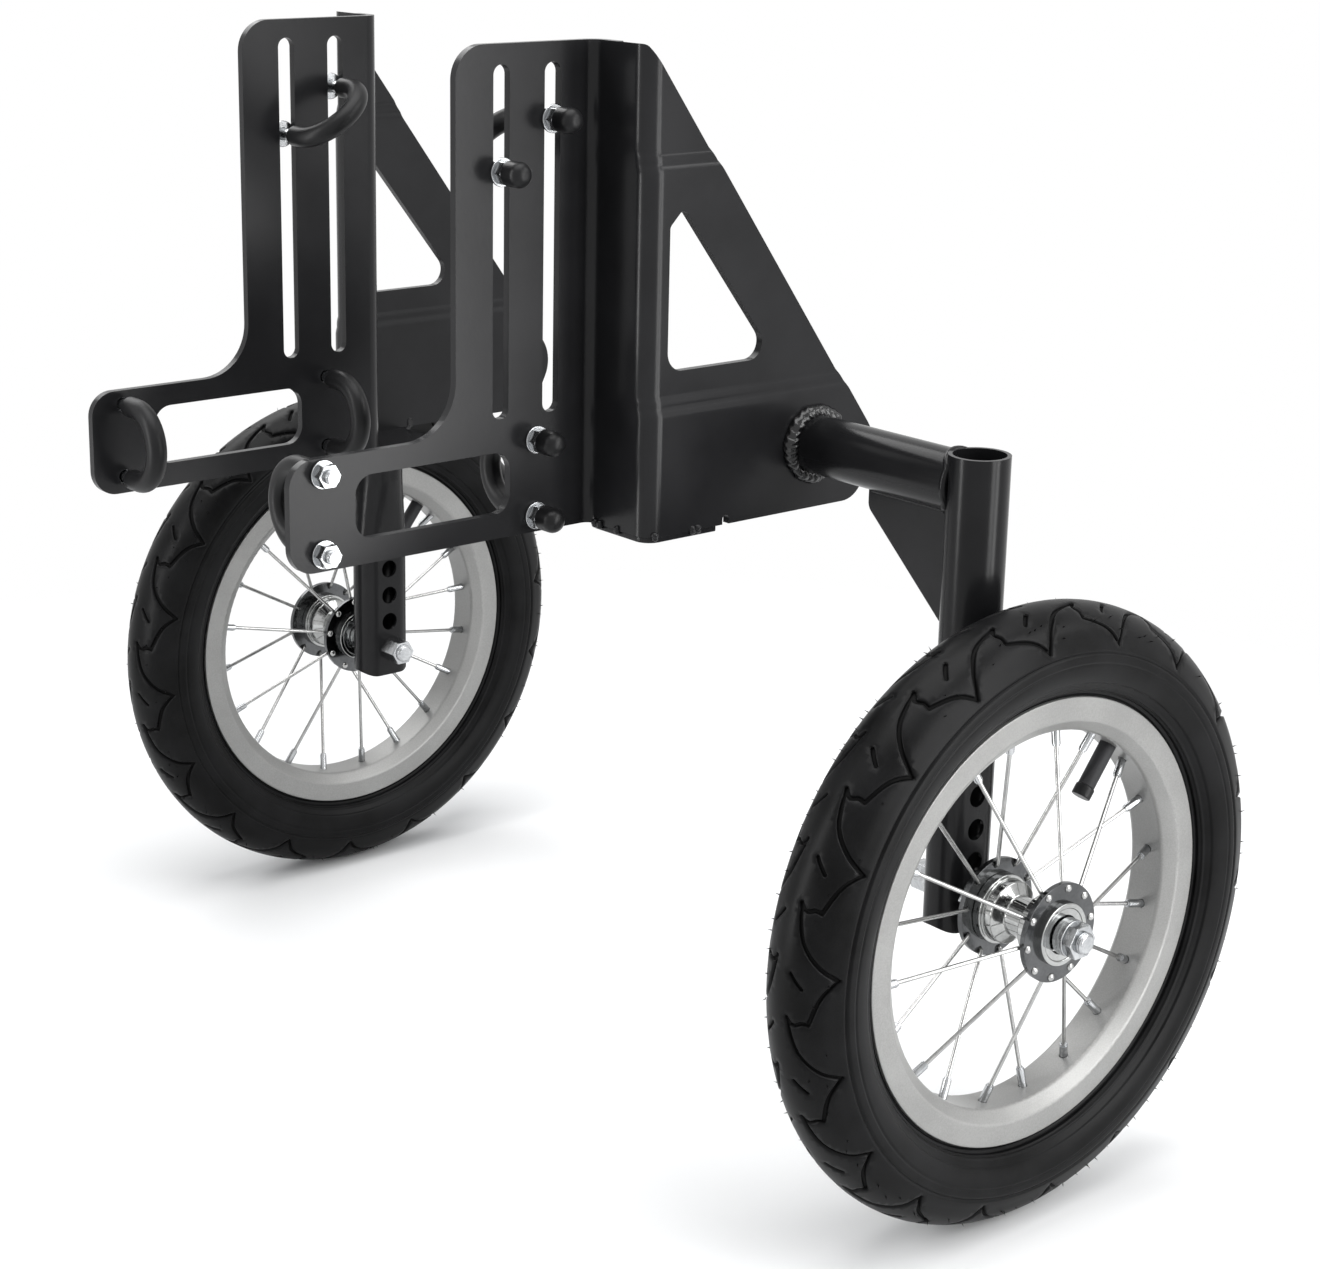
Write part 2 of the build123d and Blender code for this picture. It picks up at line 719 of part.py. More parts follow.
with BuildPart() as left_nipples:
    for flange_y, toward, near_y, angle in spoke_sets:
        start = polar(spoke_circle_radius, angle, near_y)
        end = polar(spoke_end_radius, angle, wheel_y)
        run = (end - start).normalized()
        foot = end - run * nipple_length
        top = end + run * nipple_head[1]
        with Locations(between(foot, top)):
            Cylinder(nipple_radius, (top - foot).length)
        with Locations(between(end + run * nipple_head[0], top)):
            Cylinder(nipple_head_radius, nipple_head[1] - nipple_head[0])
        with Locations(between(foot - run, end)):
            Cylinder(spoke_radius, (end - foot).length + 1, mode=Mode.SUBTRACT)


def valve_line(low, high):
    """Plane at the middle of a stretch of the valve, between two distances out from the rim's bed."""
    return between(
        polar(rim_bed_radius + low, valve_angle, wheel_y), polar(rim_bed_radius + high, valve_angle, wheel_y)
    )


# Rim, with a bed that is drilled for the nipples and the valve
rim_corners = [0, rim_lip_rounding, *[rim_bend_radius] * 4, rim_lip_rounding, *[0] * 7]
nipple_hole_radius = nipple_radius + nipple_hole_clearance
nipple_hole_length = nipple_hole_depth + nipple_head[0]
with BuildPart() as left_rim:
    with BuildSketch(meridian):
        with BuildLine():
            FilletPolyline(
                (wheel_y + lip_half_width, rim_radius), (wheel_y + rim_half_width, rim_radius),
                (wheel_y + rim_half_width, rim_bed_radius + rim_slope_height),
                (wheel_y + rim_half_width - rim_slope_width, rim_bed_radius),
                (wheel_y - rim_half_width + rim_slope_width, rim_bed_radius),
                (wheel_y - rim_half_width, rim_bed_radius + rim_slope_height),
                (wheel_y - rim_half_width, rim_radius), (wheel_y - lip_half_width, rim_radius),
                (wheel_y - lip_half_width, bead_seat_radius), (wheel_y - seat_half_width, bead_seat_radius),
                (wheel_y - well_half_width, well_radius), (wheel_y + well_half_width, well_radius),
                (wheel_y + seat_half_width, bead_seat_radius), (wheel_y + lip_half_width, bead_seat_radius),
                radius=rim_corners,
                close=True,
            )
        make_face()
    revolve(axis=axle_line)
    for flange_y, toward, near_y, angle in spoke_sets:
        start = polar(spoke_circle_radius, angle, near_y)
        end = polar(spoke_end_radius, angle, wheel_y)
        run = (end - start).normalized()
        with Locations(between(end - run * nipple_hole_depth, end + run * nipple_head[0])):
            Cylinder(nipple_hole_radius, nipple_hole_length, mode=Mode.SUBTRACT)
    with Locations(valve_line(*valve_hole)):
        Cylinder(valve_radius, valve_hole[1] - valve_hole[0], mode=Mode.SUBTRACT)

well_slope = (seat_half_width - well_half_width) / (bead_seat_radius - well_radius)
tape_low, tape_high = [well_half_width + well_slope * (r - well_radius) for r in tape_radii]
with BuildPart() as left_rim_tape:
    with BuildSketch(meridian):
        with BuildLine():
            Polyline(
                (wheel_y - tape_low, tape_radii[0]), (wheel_y + tape_low, tape_radii[0]),
                (wheel_y + tape_high, tape_radii[1]), (wheel_y - tape_high, tape_radii[1]),
                close=True,
            )
        make_face()
    revolve(axis=axle_line)
    with Locations(valve_line(*tape_hole)):
        Cylinder(valve_radius, tape_hole[1] - tape_hole[0], mode=Mode.SUBTRACT)

tube_floor = well_half_width - 2.4
tube_neck = seat_half_width - 0.6
tube_side = tyre_half_width - 4.6
tube_crown = tyre_half_width - 14
tube_bottom = tape_radii[1] + 1.2
tube_knee = bead_seat_radius + 2.5
tube_waist = rim_radius + 0.5
tube_side_low = section_mid - 8.25
tube_side_high = section_mid - 0.25
tube_top = tyre_radius - tread_thickness - 2.2
with BuildPart() as left_inner_tube:
    with BuildSketch(meridian):
        with BuildLine():
            FilletPolyline(
                (wheel_y - tube_floor, tube_bottom), (wheel_y + tube_floor, tube_bottom),
                (wheel_y + tube_neck, tube_knee), (wheel_y + tube_neck, tube_waist),
                (wheel_y + tube_side, tube_side_low), (wheel_y + tube_side, tube_side_high),
                (wheel_y + tube_crown, tube_top), (wheel_y - tube_crown, tube_top),
                (wheel_y - tube_side, tube_side_high), (wheel_y - tube_side, tube_side_low),
                (wheel_y - tube_neck, tube_waist), (wheel_y - tube_neck, tube_knee),
                radius=inner_tube_bend, close=True,
            )
        make_face()
        offset(amount=-inner_tube_wall, mode=Mode.SUBTRACT)
    revolve(axis=axle_line)

valve_seat = tape_radii[1] - rim_bed_radius
with BuildPart() as left_valve_stem:
    with Locations(valve_line(-valve_length, valve_seat + valve_base_overlap)):
        Cylinder(valve_radius, valve_length + valve_seat + valve_base_overlap)
    with Locations(valve_line(valve_seat, valve_seat + valve_base_thickness)):
        Cylinder(valve_base_radius, valve_base_thickness)
    with Locations(valve_line(-valve_length - valve_tip_length, -valve_length + valve_tip_root)):
        Cylinder(valve_tip_radius, valve_tip_length + valve_tip_root)

with BuildPart() as left_valve_cap:
    with Locations(valve_line(-valve_length - valve_cap_length, -valve_length)):
        Cylinder(valve_radius + valve_cap_wall, valve_cap_length)
    with Locations(valve_line(-valve_length - valve_tip_length, -valve_length + valve_tip_root)):
        Cylinder(valve_tip_radius, valve_tip_length + valve_tip_root, mode=Mode.SUBTRACT)

# Tyre: round crown, full sidewalls and beads that sit in the rim
bead_out = (lip_half_width - 0.1, bead_seat_radius + 0.1)
bead_top = (lip_half_width - 0.1, rim_radius + 0.3)
bulge = (tyre_half_width, section_mid - 2.75)
shoulder = (tyre_half_width - 2.8, section_mid + 8.25)
bead_in = (seat_half_width + 0.1, bead_seat_radius + 0.1)
bead_throat = (seat_half_width + 0.1, rim_radius + 0.5)
inner_bulge = (tyre_half_width - 3.2, section_mid - 4.25)
inner_shoulder = (tyre_half_width - 6, section_mid + 5.75)


def outward(point):
    """Point of the tyre's outer half, given by its distance from the wheel's middle and its radius."""
    return (wheel_y + point[0], point[1])


def inward(point):
    """The same point on the tyre's inner half."""
    return (wheel_y - point[0], point[1])


with BuildPart() as left_tyre:
    with BuildSketch(meridian):
        with BuildLine():
            Line(inward(bead_in), inward(bead_out))
            Line(inward(bead_out), inward(bead_top))
            ThreePointArc(inward(bead_top), inward(bulge), inward(shoulder))
            ThreePointArc(inward(shoulder), (wheel_y, tyre_radius), outward(shoulder))
            ThreePointArc(outward(shoulder), outward(bulge), outward(bead_top))
            Line(outward(bead_top), outward(bead_out))
            Line(outward(bead_out), outward(bead_in))
            Line(outward(bead_in), outward(bead_throat))
            ThreePointArc(outward(bead_throat), outward(inner_bulge), outward(inner_shoulder))
            ThreePointArc(
                outward(inner_shoulder), (wheel_y, tyre_radius - tread_thickness), inward(inner_shoulder)
            )
            ThreePointArc(inward(inner_shoulder), inward(inner_bulge), inward(bead_throat))
            Line(inward(bead_throat), inward(bead_in))
        make_face()
    revolve(axis=axle_line)

left_parts = {
    "bracket": left_bracket,
    "bracket_foot": left_bracket_foot,
    "arm_tube": left_arm_tube,
    "leg_tube": left_leg_tube,
    "gusset": left_gusset,
    "chain_stay_u_bolts": left_chain_stay_u_bolts,
    "axle": left_axle,
    "seat_stay_u_bolt": left_seat_stay_u_bolt,
    "seat_stay_sleeve": left_seat_stay_sleeve,
    "seat_stay_washers": left_seat_stay_washers,
    "seat_stay_nuts": left_seat_stay_nuts,
    "seat_stay_caps": left_seat_stay_caps,
    "hub_shell": left_hub_shell,
    "inner_flange": left_inner_flange,
    "outer_flange": left_outer_flange,
    "bearing_balls": left_bearing_balls,
    "dust_caps": left_dust_caps,
    "spokes": left_spokes,
    "nipples": left_nipples,
    "rim": left_rim,
    "rim_tape": left_rim_tape,
    "inner_tube": left_inner_tube,
    "valve_stem": left_valve_stem,
    "valve_cap": left_valve_cap,
    "tyre": left_tyre,
}
for name, left in left_parts.items():
    save(left, f"left_{name}")
    with BuildPart() as right:
        mirror(left.part, about=Plane.XZ)
    save(right, f"right_{name}")

shared_parts = {
    "weld_beads": weld_beads,
    "chain_stay_sleeves": chain_stay_sleeves,
    "chain_stay_washers": chain_stay_washers,
    "chain_stay_nuts": chain_stay_nuts,
    "chain_stay_caps": chain_stay_caps,
    "axle_nuts": axle_nuts,
    "bearing_cones": bearing_cones,
}
for name, pair in shared_parts.items():
    save(pair, name)
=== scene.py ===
"""Looks of a pair of bicycle training wheels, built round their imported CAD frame."""

import json
import logging
import math
import random
from dataclasses import dataclass
from enum import Enum
from typing import Callable, Iterable, Sequence

import bmesh
import bpy
import numpy as np
from mathutils import Matrix, Vector
from mathutils.geometry import delaunay_2d_cdt
from mathutils.kdtree import KDTree

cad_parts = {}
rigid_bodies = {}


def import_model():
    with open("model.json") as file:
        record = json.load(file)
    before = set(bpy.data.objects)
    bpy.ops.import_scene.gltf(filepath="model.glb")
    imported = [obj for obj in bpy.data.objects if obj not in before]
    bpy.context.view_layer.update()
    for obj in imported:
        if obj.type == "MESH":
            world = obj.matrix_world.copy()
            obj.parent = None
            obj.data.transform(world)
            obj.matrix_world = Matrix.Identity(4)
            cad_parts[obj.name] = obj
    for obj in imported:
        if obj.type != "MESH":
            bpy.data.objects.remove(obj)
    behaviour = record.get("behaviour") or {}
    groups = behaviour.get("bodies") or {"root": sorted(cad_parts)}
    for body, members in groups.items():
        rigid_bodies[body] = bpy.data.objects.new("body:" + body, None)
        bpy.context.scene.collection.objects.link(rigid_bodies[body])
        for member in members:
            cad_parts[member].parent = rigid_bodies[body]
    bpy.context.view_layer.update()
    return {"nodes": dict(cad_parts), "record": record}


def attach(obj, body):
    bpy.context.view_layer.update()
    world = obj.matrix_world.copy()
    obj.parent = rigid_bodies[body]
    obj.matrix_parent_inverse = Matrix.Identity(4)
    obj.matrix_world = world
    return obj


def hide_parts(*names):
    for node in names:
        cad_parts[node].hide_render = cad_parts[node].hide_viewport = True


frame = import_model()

LOG = logging.getLogger("training_wheels")
MM = 0.001
TURN = 2 * math.pi
RECORD = frame["record"]
SPIN = next(j for j in RECORD["behaviour"]["joints"] if j["name"] == "left_wheel_spin")
AXLE_X, WHEEL_Y, AXLE_Z = (metres / MM for metres in SPIN["pos_m"])

Point = tuple[float, float, float]
Colour = tuple[float, float, float]
Shape = Callable[[bmesh.types.BMesh], None]


class Side(Enum):
    """The two units of the pair; the value is the sign of their Y."""

    LEFT = 1
    RIGHT = -1

    @property
    def prefix(self) -> str:
        """Start of the CAD names of this unit."""
        return self.name.lower()


def world(x: float, y: float, z: float) -> Point:
    """Turns millimetres from the axle into metres of the row frame.

    Args:
        x: Distance forward of the axle.
        y: Distance out from the bicycle's middle.
        z: Height over the axle.
    Returns:
        The point in metres.
    """
    return ((x + AXLE_X) * MM, y * MM, (z + AXLE_Z) * MM)


# Node trees


class Tree:
    """A node tree whose nodes all come from one method."""

    def __init__(self, tree: bpy.types.NodeTree) -> None:
        """Wraps a tree."""
        self.tree = tree

    def add(
        self,
        kind: str,
        settings: dict[str, object] | None = None,
        sockets: dict[str | int, object] | None = None,
    ) -> bpy.types.Node:
        """Adds a node.

        Args:
            kind: Its type.
            settings: Its properties, which are set first.
            sockets: Constants or links of its inputs, by name or by number.
        Returns:
            The node.
        """
        node = self.tree.nodes.new(kind)
        for key, value in (settings or {}).items():
            setattr(node, key, value)
        for key, value in (sockets or {}).items():
            self.feed(node, key, value)
        return node

    def feed(self, node: bpy.types.Node, key: str | int, value: object) -> None:
        """Sets or links one input of a node.

        Args:
            node: The node.
            key: Name or number of the input.
            value: A constant, a socket, or a node whose first output is taken.
        """
        named = [s for s in node.inputs if s.enabled and s.name == key]
        socket = named[0] if named else node.inputs[key]
        if isinstance(value, bpy.types.Node):
            value = next(s for s in value.outputs if s.enabled)
        if isinstance(value, Sock):
            value = value.socket
        if isinstance(value, bpy.types.NodeSocket):
            self.tree.links.new(value, socket)
        else:
            socket.default_value = value

    def value(self, node: bpy.types.Node, name: str = "") -> "Sock":
        """An output of a node for arithmetic, by name or the first one."""
        return Sock(self, node.outputs[name] if name else node.outputs[0])


class Sock:
    """A socket's value that takes part in plain arithmetic."""

    def __init__(self, tree: Tree, socket: bpy.types.NodeSocket) -> None:
        """Holds a socket and its tree."""
        self.tree = tree
        self.socket = socket

    def _math(self, operation: str, *terms: "Sock | float") -> "Sock":
        """Adds a Math node.

        Args:
            operation: What it works out.
            terms: Its values in order.
        Returns:
            The result.
        """
        node = self.tree.add("ShaderNodeMath", {"operation": operation}, dict(enumerate(terms)))
        return self.tree.value(node)

    def __add__(self, other: "Sock | float") -> "Sock":
        """Sum."""
        return self._math("ADD", self, other)

    def __radd__(self, other: float) -> "Sock":
        """Sum with a number on the left."""
        return self._math("ADD", other, self)

    def __sub__(self, other: "Sock | float") -> "Sock":
        """Difference."""
        return self._math("SUBTRACT", self, other)

    def __rsub__(self, other: float) -> "Sock":
        """Difference from a number on the left."""
        return self._math("SUBTRACT", other, self)

    def __mul__(self, other: "Sock | float") -> "Sock":
        """Product."""
        return self._math("MULTIPLY", self, other)

    def __rmul__(self, other: float) -> "Sock":
        """Product with a number on the left."""
        return self._math("MULTIPLY", other, self)

    def __pow__(self, other: "Sock | float") -> "Sock":
        """Power."""
        return self._math("POWER", self, other)

    def __rpow__(self, other: float) -> "Sock":
        """Power of a number on the left."""
        return self._math("POWER", other, self)

    def ramp(self, low: float, high: float, start: float = 0.0, end: float = 1.0) -> "Sock":
        """Smooth step of the value.

        Args:
            low: Value at which the step starts.
            high: Value at which it ends.
            start: Result below low.
            end: Result above high.
        Returns:
            The stepped value.
        """
        node = self.tree.add(
            "ShaderNodeMapRange",
            {"interpolation_type": "SMOOTHSTEP"},
            {"Value": self, "From Min": low, "From Max": high, "To Min": start, "To Max": end},
        )
        return self.tree.value(node, "Result")


class Paint(Tree):
    """A procedural material under construction."""

    def __init__(self, name: str, **constants: float) -> None:
        """Starts a material.

        Args:
            name: Its name.
            constants: Values of its shader that are the same all over.
        """
        self.material = bpy.data.materials.new(name)
        self.material.use_nodes = True
        super().__init__(self.material.node_tree)
        self.shader = self.tree.nodes["Principled BSDF"]
        for key, value in constants.items():
            self.feed(self.shader, key, value)
        self.spot = self.add("ShaderNodeTexCoord").outputs["Object"]

    def axis(self, name: str) -> Sock:
        """One object coordinate in metres: X, Y or Z."""
        return self.value(self.add("ShaderNodeSeparateXYZ", None, {0: self.spot}), name)

    def noise(self, scale: float, detail: float = 2.0, stretch: Point = (1, 1, 1)) -> Sock:
        """Noise over the object.

        Args:
            scale: Cells per metre.
            detail: Number of finer layers.
            stretch: Factor on each axis.
        Returns:
            Value of about 0 to 1.
        """
        place = self.add("ShaderNodeMapping", None, {"Vector": self.spot, "Scale": stretch})
        node = self.add("ShaderNodeTexNoise", None, {"Vector": place, "Scale": scale, "Detail": detail})
        return self.value(node, "Fac")

    def attribute(self, name: str) -> Sock:
        """A value that is stored on the mesh."""
        return self.value(self.add("ShaderNodeAttribute", {"attribute_name": name}), "Fac")

    def drive(self, name: str, value: object) -> None:
        """Lets a varying value set an input of the shader."""
        self.feed(self.shader, name, value)

    def colour(self, factor: Sock, low: Colour, high: Colour) -> None:
        """Mixes the base colour.

        Args:
            factor: Share of the second colour.
            low: The first colour.
            high: The second colour.
        """
        sides = {"Factor": factor, "A": (*low, 1), "B": (*high, 1)}
        self.drive("Base Color", self.add("ShaderNodeMix", {"data_type": "RGBA"}, sides))

    def bump(self, height: Sock, distance: float, strength: float = 1.0) -> None:
        """Adds relief.

        Args:
            height: The relief, from 0 to 1.
            distance: Its depth in metres.
            strength: How much of it shows.
        """
        sockets = {"Height": height, "Distance": distance, "Strength": strength}
        self.drive("Normal", self.add("ShaderNodeBump", None, sockets))


# Finishes

# Noise values between which a patch of another shade fades in
PATCHY = (0.3, 0.7)


@dataclass(frozen=True)
class Coat:
    """Black powder coat with a faint orange peel."""

    name: str
    tone: float
    ior: float
    roughness: float
    peel: float
    depth: float
    cloud: float = 26.0
    cloud_lift: float = 1.35
    blue: float = 1.07
    cloud_gloss: float = 0.04
    peel_gloss: float = 0.03

    def make(self) -> bpy.types.Material:
        """Makes the material.

        Returns:
            The material.
        """
        paint = Paint(self.name, IOR=self.ior)
        cloud, fine = paint.noise(self.cloud, detail=3), paint.noise(self.peel)
        low, high = self.tone, self.tone * self.cloud_lift
        paint.colour(cloud.ramp(*PATCHY), (low, low, low * self.blue), (high, high, high * self.blue))
        base = self.roughness - (self.cloud_gloss + self.peel_gloss) / 2
        paint.drive("Roughness", cloud * self.cloud_gloss + fine * self.peel_gloss + base)
        paint.bump(fine, self.depth)
        return paint.material


@dataclass(frozen=True)
class Metal:
    """Bare or plated metal with clouds and fine lines."""

    name: str
    low: Colour
    high: Colour
    roughness: float
    spread: float
    stretch: Point = (1, 1, 1)
    cloud: float = 90.0
    line: float = 700.0
    cloud_share: float = 0.6
    line_depth: float = 0.00001
    line_strength: float = 0.6

    def make(self) -> bpy.types.Material:
        """Makes the material.

        Returns:
            The material.
        """
        paint = Paint(self.name, Metallic=1.0)
        cloud = paint.noise(self.cloud, detail=3, stretch=self.stretch)
        lines = paint.noise(self.line, stretch=self.stretch)
        patch = cloud * self.cloud_share + lines * (1 - self.cloud_share)
        paint.colour(patch.ramp(*PATCHY), self.low, self.high)
        paint.drive("Roughness", cloud * self.spread + (self.roughness - self.spread / 2))
        paint.bump(lines, self.line_depth, self.line_strength)
        return paint.material


@dataclass(frozen=True)
class Lacquer:
    """Silver lacquer with fine metal flakes."""

    name: str
    low: Colour
    high: Colour
    metallic: float
    ior: float
    roughness: float
    spread: float = 0.12
    cloud: float = 40.0
    flake: float = 1500.0
    cloud_share: float = 0.5
    flake_depth: float = 0.000012
    flake_strength: float = 0.5

    def make(self) -> bpy.types.Material:
        """Makes the material.

        Returns:
            The material.
        """
        paint = Paint(self.name, Metallic=self.metallic, IOR=self.ior)
        cloud, flakes = paint.noise(self.cloud, detail=3), paint.noise(self.flake, detail=1)
        patch = cloud * self.cloud_share + flakes * (1 - self.cloud_share)
        paint.colour(patch.ramp(*PATCHY), self.low, self.high)
        paint.drive("Roughness", cloud * self.spread + (self.roughness - self.spread / 2))
        paint.bump(flakes, self.flake_depth, self.flake_strength)
        return paint.material


@dataclass(frozen=True)
class Rubber:
    """Black rubber or vinyl with a fine grain."""

    name: str
    low: float
    high: float
    ior: float
    roughness: float
    spread: float
    grain_depth: float = 0.00006
    # Whether painted shade darkens the tread's grooves, which also turn rougher
    grooved: bool = False
    cloud: float = 45.0
    grain: float = 1600.0
    cloud_share: float = 0.7
    grain_gloss: float = 0.06
    grain_strength: float = 0.5
    groove_step: tuple[float, float] = (0.3, 0.9)
    groove_dull: float = 0.3
    low_blue: float = 1.05
    high_blue: float = 1.07

    def make(self) -> bpy.types.Material:
        """Makes the material.

        Returns:
            The material, dull and darkened by painted shade in the tread's grooves where it has them.
        """
        paint = Paint(self.name, IOR=self.ior)
        cloud, grain = paint.noise(self.cloud, detail=4), paint.noise(self.grain)
        patch = (cloud * self.cloud_share + grain * (1 - self.cloud_share)).ramp(*PATCHY)
        gloss = cloud * self.spread + grain * self.grain_gloss + (self.roughness - self.spread / 2)
        if self.grooved:
            # Painted shade: deep in the tread's grooves the colour falls to the dark tone, and the rubber
            # turns rougher there
            groove_shade_and_dull = paint.attribute("groove").ramp(*self.groove_step)
            patch = patch * (1 - groove_shade_and_dull)
            gloss = gloss + groove_shade_and_dull * self.groove_dull
        low, high = self.low, self.high
        paint.colour(patch, (low, low, low * self.low_blue), (high, high, high * self.high_blue))
        paint.drive("Roughness", gloss)
        paint.bump(grain, self.grain_depth, self.grain_strength)
        return paint.material


@dataclass(frozen=True)
class PaleFloor:
    """Pale floor that fades away from the object."""

    name: str
    low: Colour
    high: Colour
    fade_from: float
    fade_to: float
    roughness: float = 0.9
    ior: float = 1.2
    cloud: float = 3.0

    def make(self) -> bpy.types.Material:
        """Makes the material.

        Returns:
            The material.
        """
        paint = Paint(self.name, Roughness=self.roughness, IOR=self.ior)
        paint.colour(paint.noise(self.cloud, detail=1), self.low, self.high)
        away = paint.axis("X") ** 2 + paint.axis("Y") ** 2
        paint.drive("Alpha", away.ramp(self.fade_from, self.fade_to, 1.0, 0.0))
        return paint.material


class Finish(Enum):
    """The finishes of the part."""

    COAT = Coat("satin_black_coat", tone=0.012, ior=1.29, roughness=0.23, peel=520, depth=0.00002)
    TUBE = Coat("glossy_black_coat", tone=0.008, ior=1.26, roughness=0.22, peel=420, depth=0.00002)
    WELD = Coat("coat_on_welds", tone=0.005, ior=1.48, roughness=0.2, peel=900, depth=0.00002)
    ZINC = Metal(
        "bright_zinc", (0.36, 0.37, 0.38), (0.54, 0.55, 0.56), roughness=0.22, spread=0.16, stretch=(1, 6, 1)
    )
    CHROME = Metal(
        "polished_plate", (0.32, 0.325, 0.32), (0.44, 0.445, 0.44), roughness=0.11, spread=0.08
    )
    FLANGE = Metal(
        "dark_mirror_plate", (0.075, 0.077, 0.079), (0.115, 0.117, 0.12), roughness=0.15, spread=0.08
    )
    STEEL = Metal(
        "turned_steel", (0.4, 0.41, 0.42), (0.54, 0.55, 0.56), roughness=0.22, spread=0.12, stretch=(1, 9, 1)
    )
    SPOKE = Metal(
        "spoke_steel", (0.34, 0.34, 0.34), (0.47, 0.47, 0.46), roughness=0.22, spread=0.1
    )
    RIM = Lacquer(
        "rim_lacquer", (0.257, 0.256, 0.25), (0.31, 0.309, 0.302), metallic=0.4, ior=1.4, roughness=0.4
    )
    # The tyre's grooves get painted shade from the groove depth stored on its mesh
    TYRE = Rubber(
        "tyre_rubber", 0.001, 0.006, ior=1.2, roughness=0.35, spread=0.16, grain_depth=0.00005, grooved=True
    )
    SLEEVE = Rubber("soft_sleeve", 0.006, 0.01, ior=1.28, roughness=0.36, spread=0.12)
    CAP = Rubber("vinyl_cap", 0.006, 0.01, ior=1.28, roughness=0.32, spread=0.12)
    INNER = Rubber("butyl_rubber", 0.02, 0.034, ior=1.28, roughness=0.5, spread=0.2)


SLOT_FINISH = {
    "black_coat": Finish.COAT,
    "zinc": Finish.ZINC,
    "hub_chrome": Finish.CHROME,
    "bearing_steel": Finish.STEEL,
    "rim_silver": Finish.RIM,
    "black_sleeve": Finish.SLEEVE,
    "black_cap": Finish.CAP,
    "inner_rubber": Finish.INNER,
    "tyre_black": Finish.TYRE,
}


# Mesh tools


def mesh_from(
    vertices: Sequence[Sequence[float]], faces: Iterable[Sequence[int]], name: str
) -> bpy.types.Mesh:
    """Makes a smooth mesh.

    Args:
        vertices: Points in metres.
        faces: Corner indices.
        name: Name of the mesh.
    Returns:
        The mesh.
    """
    mesh = bpy.data.meshes.new(name)
    mesh.from_pydata([tuple(map(float, v)) for v in vertices], [], [tuple(map(int, f)) for f in faces])
    mesh.update()
    mesh.shade_smooth()
    return mesh


def mesh_of(work: bmesh.types.BMesh, name: str) -> bpy.types.Mesh:
    """Turns a BMesh into a smooth mesh and frees it.

    Args:
        work: The BMesh.
        name: Name of the mesh.
    Returns:
        The mesh.
    """
    mesh = bpy.data.meshes.new(name)
    work.to_mesh(mesh)
    work.free()
    mesh.shade_smooth()
    return mesh


def path_mesh(points: Sequence[Point], closed: bool = False) -> bpy.types.Mesh:
    """Makes a mesh of edges.

    Args:
        points: Points along the path in metres.
        closed: Whether the last one joins the first.
    Returns:
        The mesh.
    """
    edges = [(i, i + 1) for i in range(len(points) - 1)]
    if closed:
        edges.append((len(points) - 1, 0))
    mesh = bpy.data.meshes.new("path")
    mesh.from_pydata([tuple(p) for p in points], edges, [])
    return mesh


def grid_faces(columns: int, rows: int) -> list[tuple[int, int, int, int]]:
    """Faces of a ring of columns, each a row of points.

    Args:
        columns: Steps round the ring, which closes.
        rows: Points in each column.
    Returns:
        Corner indices.
    """
    faces = []
    for i in range(columns):
        here, there = i * rows, (i + 1) % columns * rows
        faces += [(here + k, here + k + 1, there + k + 1, there + k) for k in range(rows - 1)]
    return faces


def lathe(profile: Sequence[tuple[float, float]], segments: int, name: str) -> bpy.types.Mesh:
    """Turns a profile round the wheel's axle.

    Args:
        profile: Points of the section as (y, radius) in millimetres.
        segments: Steps round the circle.
        name: Name of the mesh.
    Returns:
        The mesh, in the row frame.
    """
    angles = np.linspace(0, TURN, segments, endpoint=False)
    vertices = [world(r * math.cos(a), y, r * math.sin(a)) for a in angles for y, r in profile]
    return mesh_from(vertices, grid_faces(segments, len(profile)), name)


def joined(meshes: Sequence[bpy.types.Mesh], name: str, merge: float = 0.0) -> bpy.types.Mesh:
    """Joins meshes that share one material.

    Args:
        meshes: What is joined.
        name: Name of the result.
        merge: Distance in metres below which points become one.
    Returns:
        The joined mesh, with its faces turned outwards.
    """
    work = bmesh.new()
    for mesh in meshes:
        work.from_mesh(mesh)
    if merge:
        bmesh.ops.remove_doubles(work, verts=work.verts, dist=merge)
    bmesh.ops.recalc_face_normals(work, faces=work.faces)
    result = bpy.data.meshes.new(name)
    work.to_mesh(result)
    work.free()
    result.polygons.foreach_set("material_index", [0] * len(result.polygons))
    return result


def mirrored(mesh: bpy.types.Mesh) -> bpy.types.Mesh:
    """Makes the mirror image of a mesh in the plane y = 0.

    Args:
        mesh: The mesh.
    Returns:
        Its mirror image, with its faces turned outwards.
    """
    twin = mesh.copy()
    twin.transform(Matrix.Scale(-1, 4, (0, 1, 0)))
    twin.flip_normals()
    return twin


def evaluated(mesh: bpy.types.Mesh, dress: Callable[[bpy.types.Object], None]) -> bpy.types.Mesh:
    """Runs modifiers on a mesh.

    Args:
        mesh: What they start from.
        dress: Adds the modifiers to the object that it is given.
    Returns:
        The result as a plain mesh.
    """
    holder = bpy.data.objects.new("holder", mesh)
    bpy.context.scene.collection.objects.link(holder)
    dress(holder)
    bpy.context.view_layer.update()
    depsgraph = bpy.context.evaluated_depsgraph_get()
    result = bpy.data.meshes.new_from_object(holder.evaluated_get(depsgraph), depsgraph=depsgraph)
    holder.modifiers.clear()
    bpy.data.objects.remove(holder)
    return result


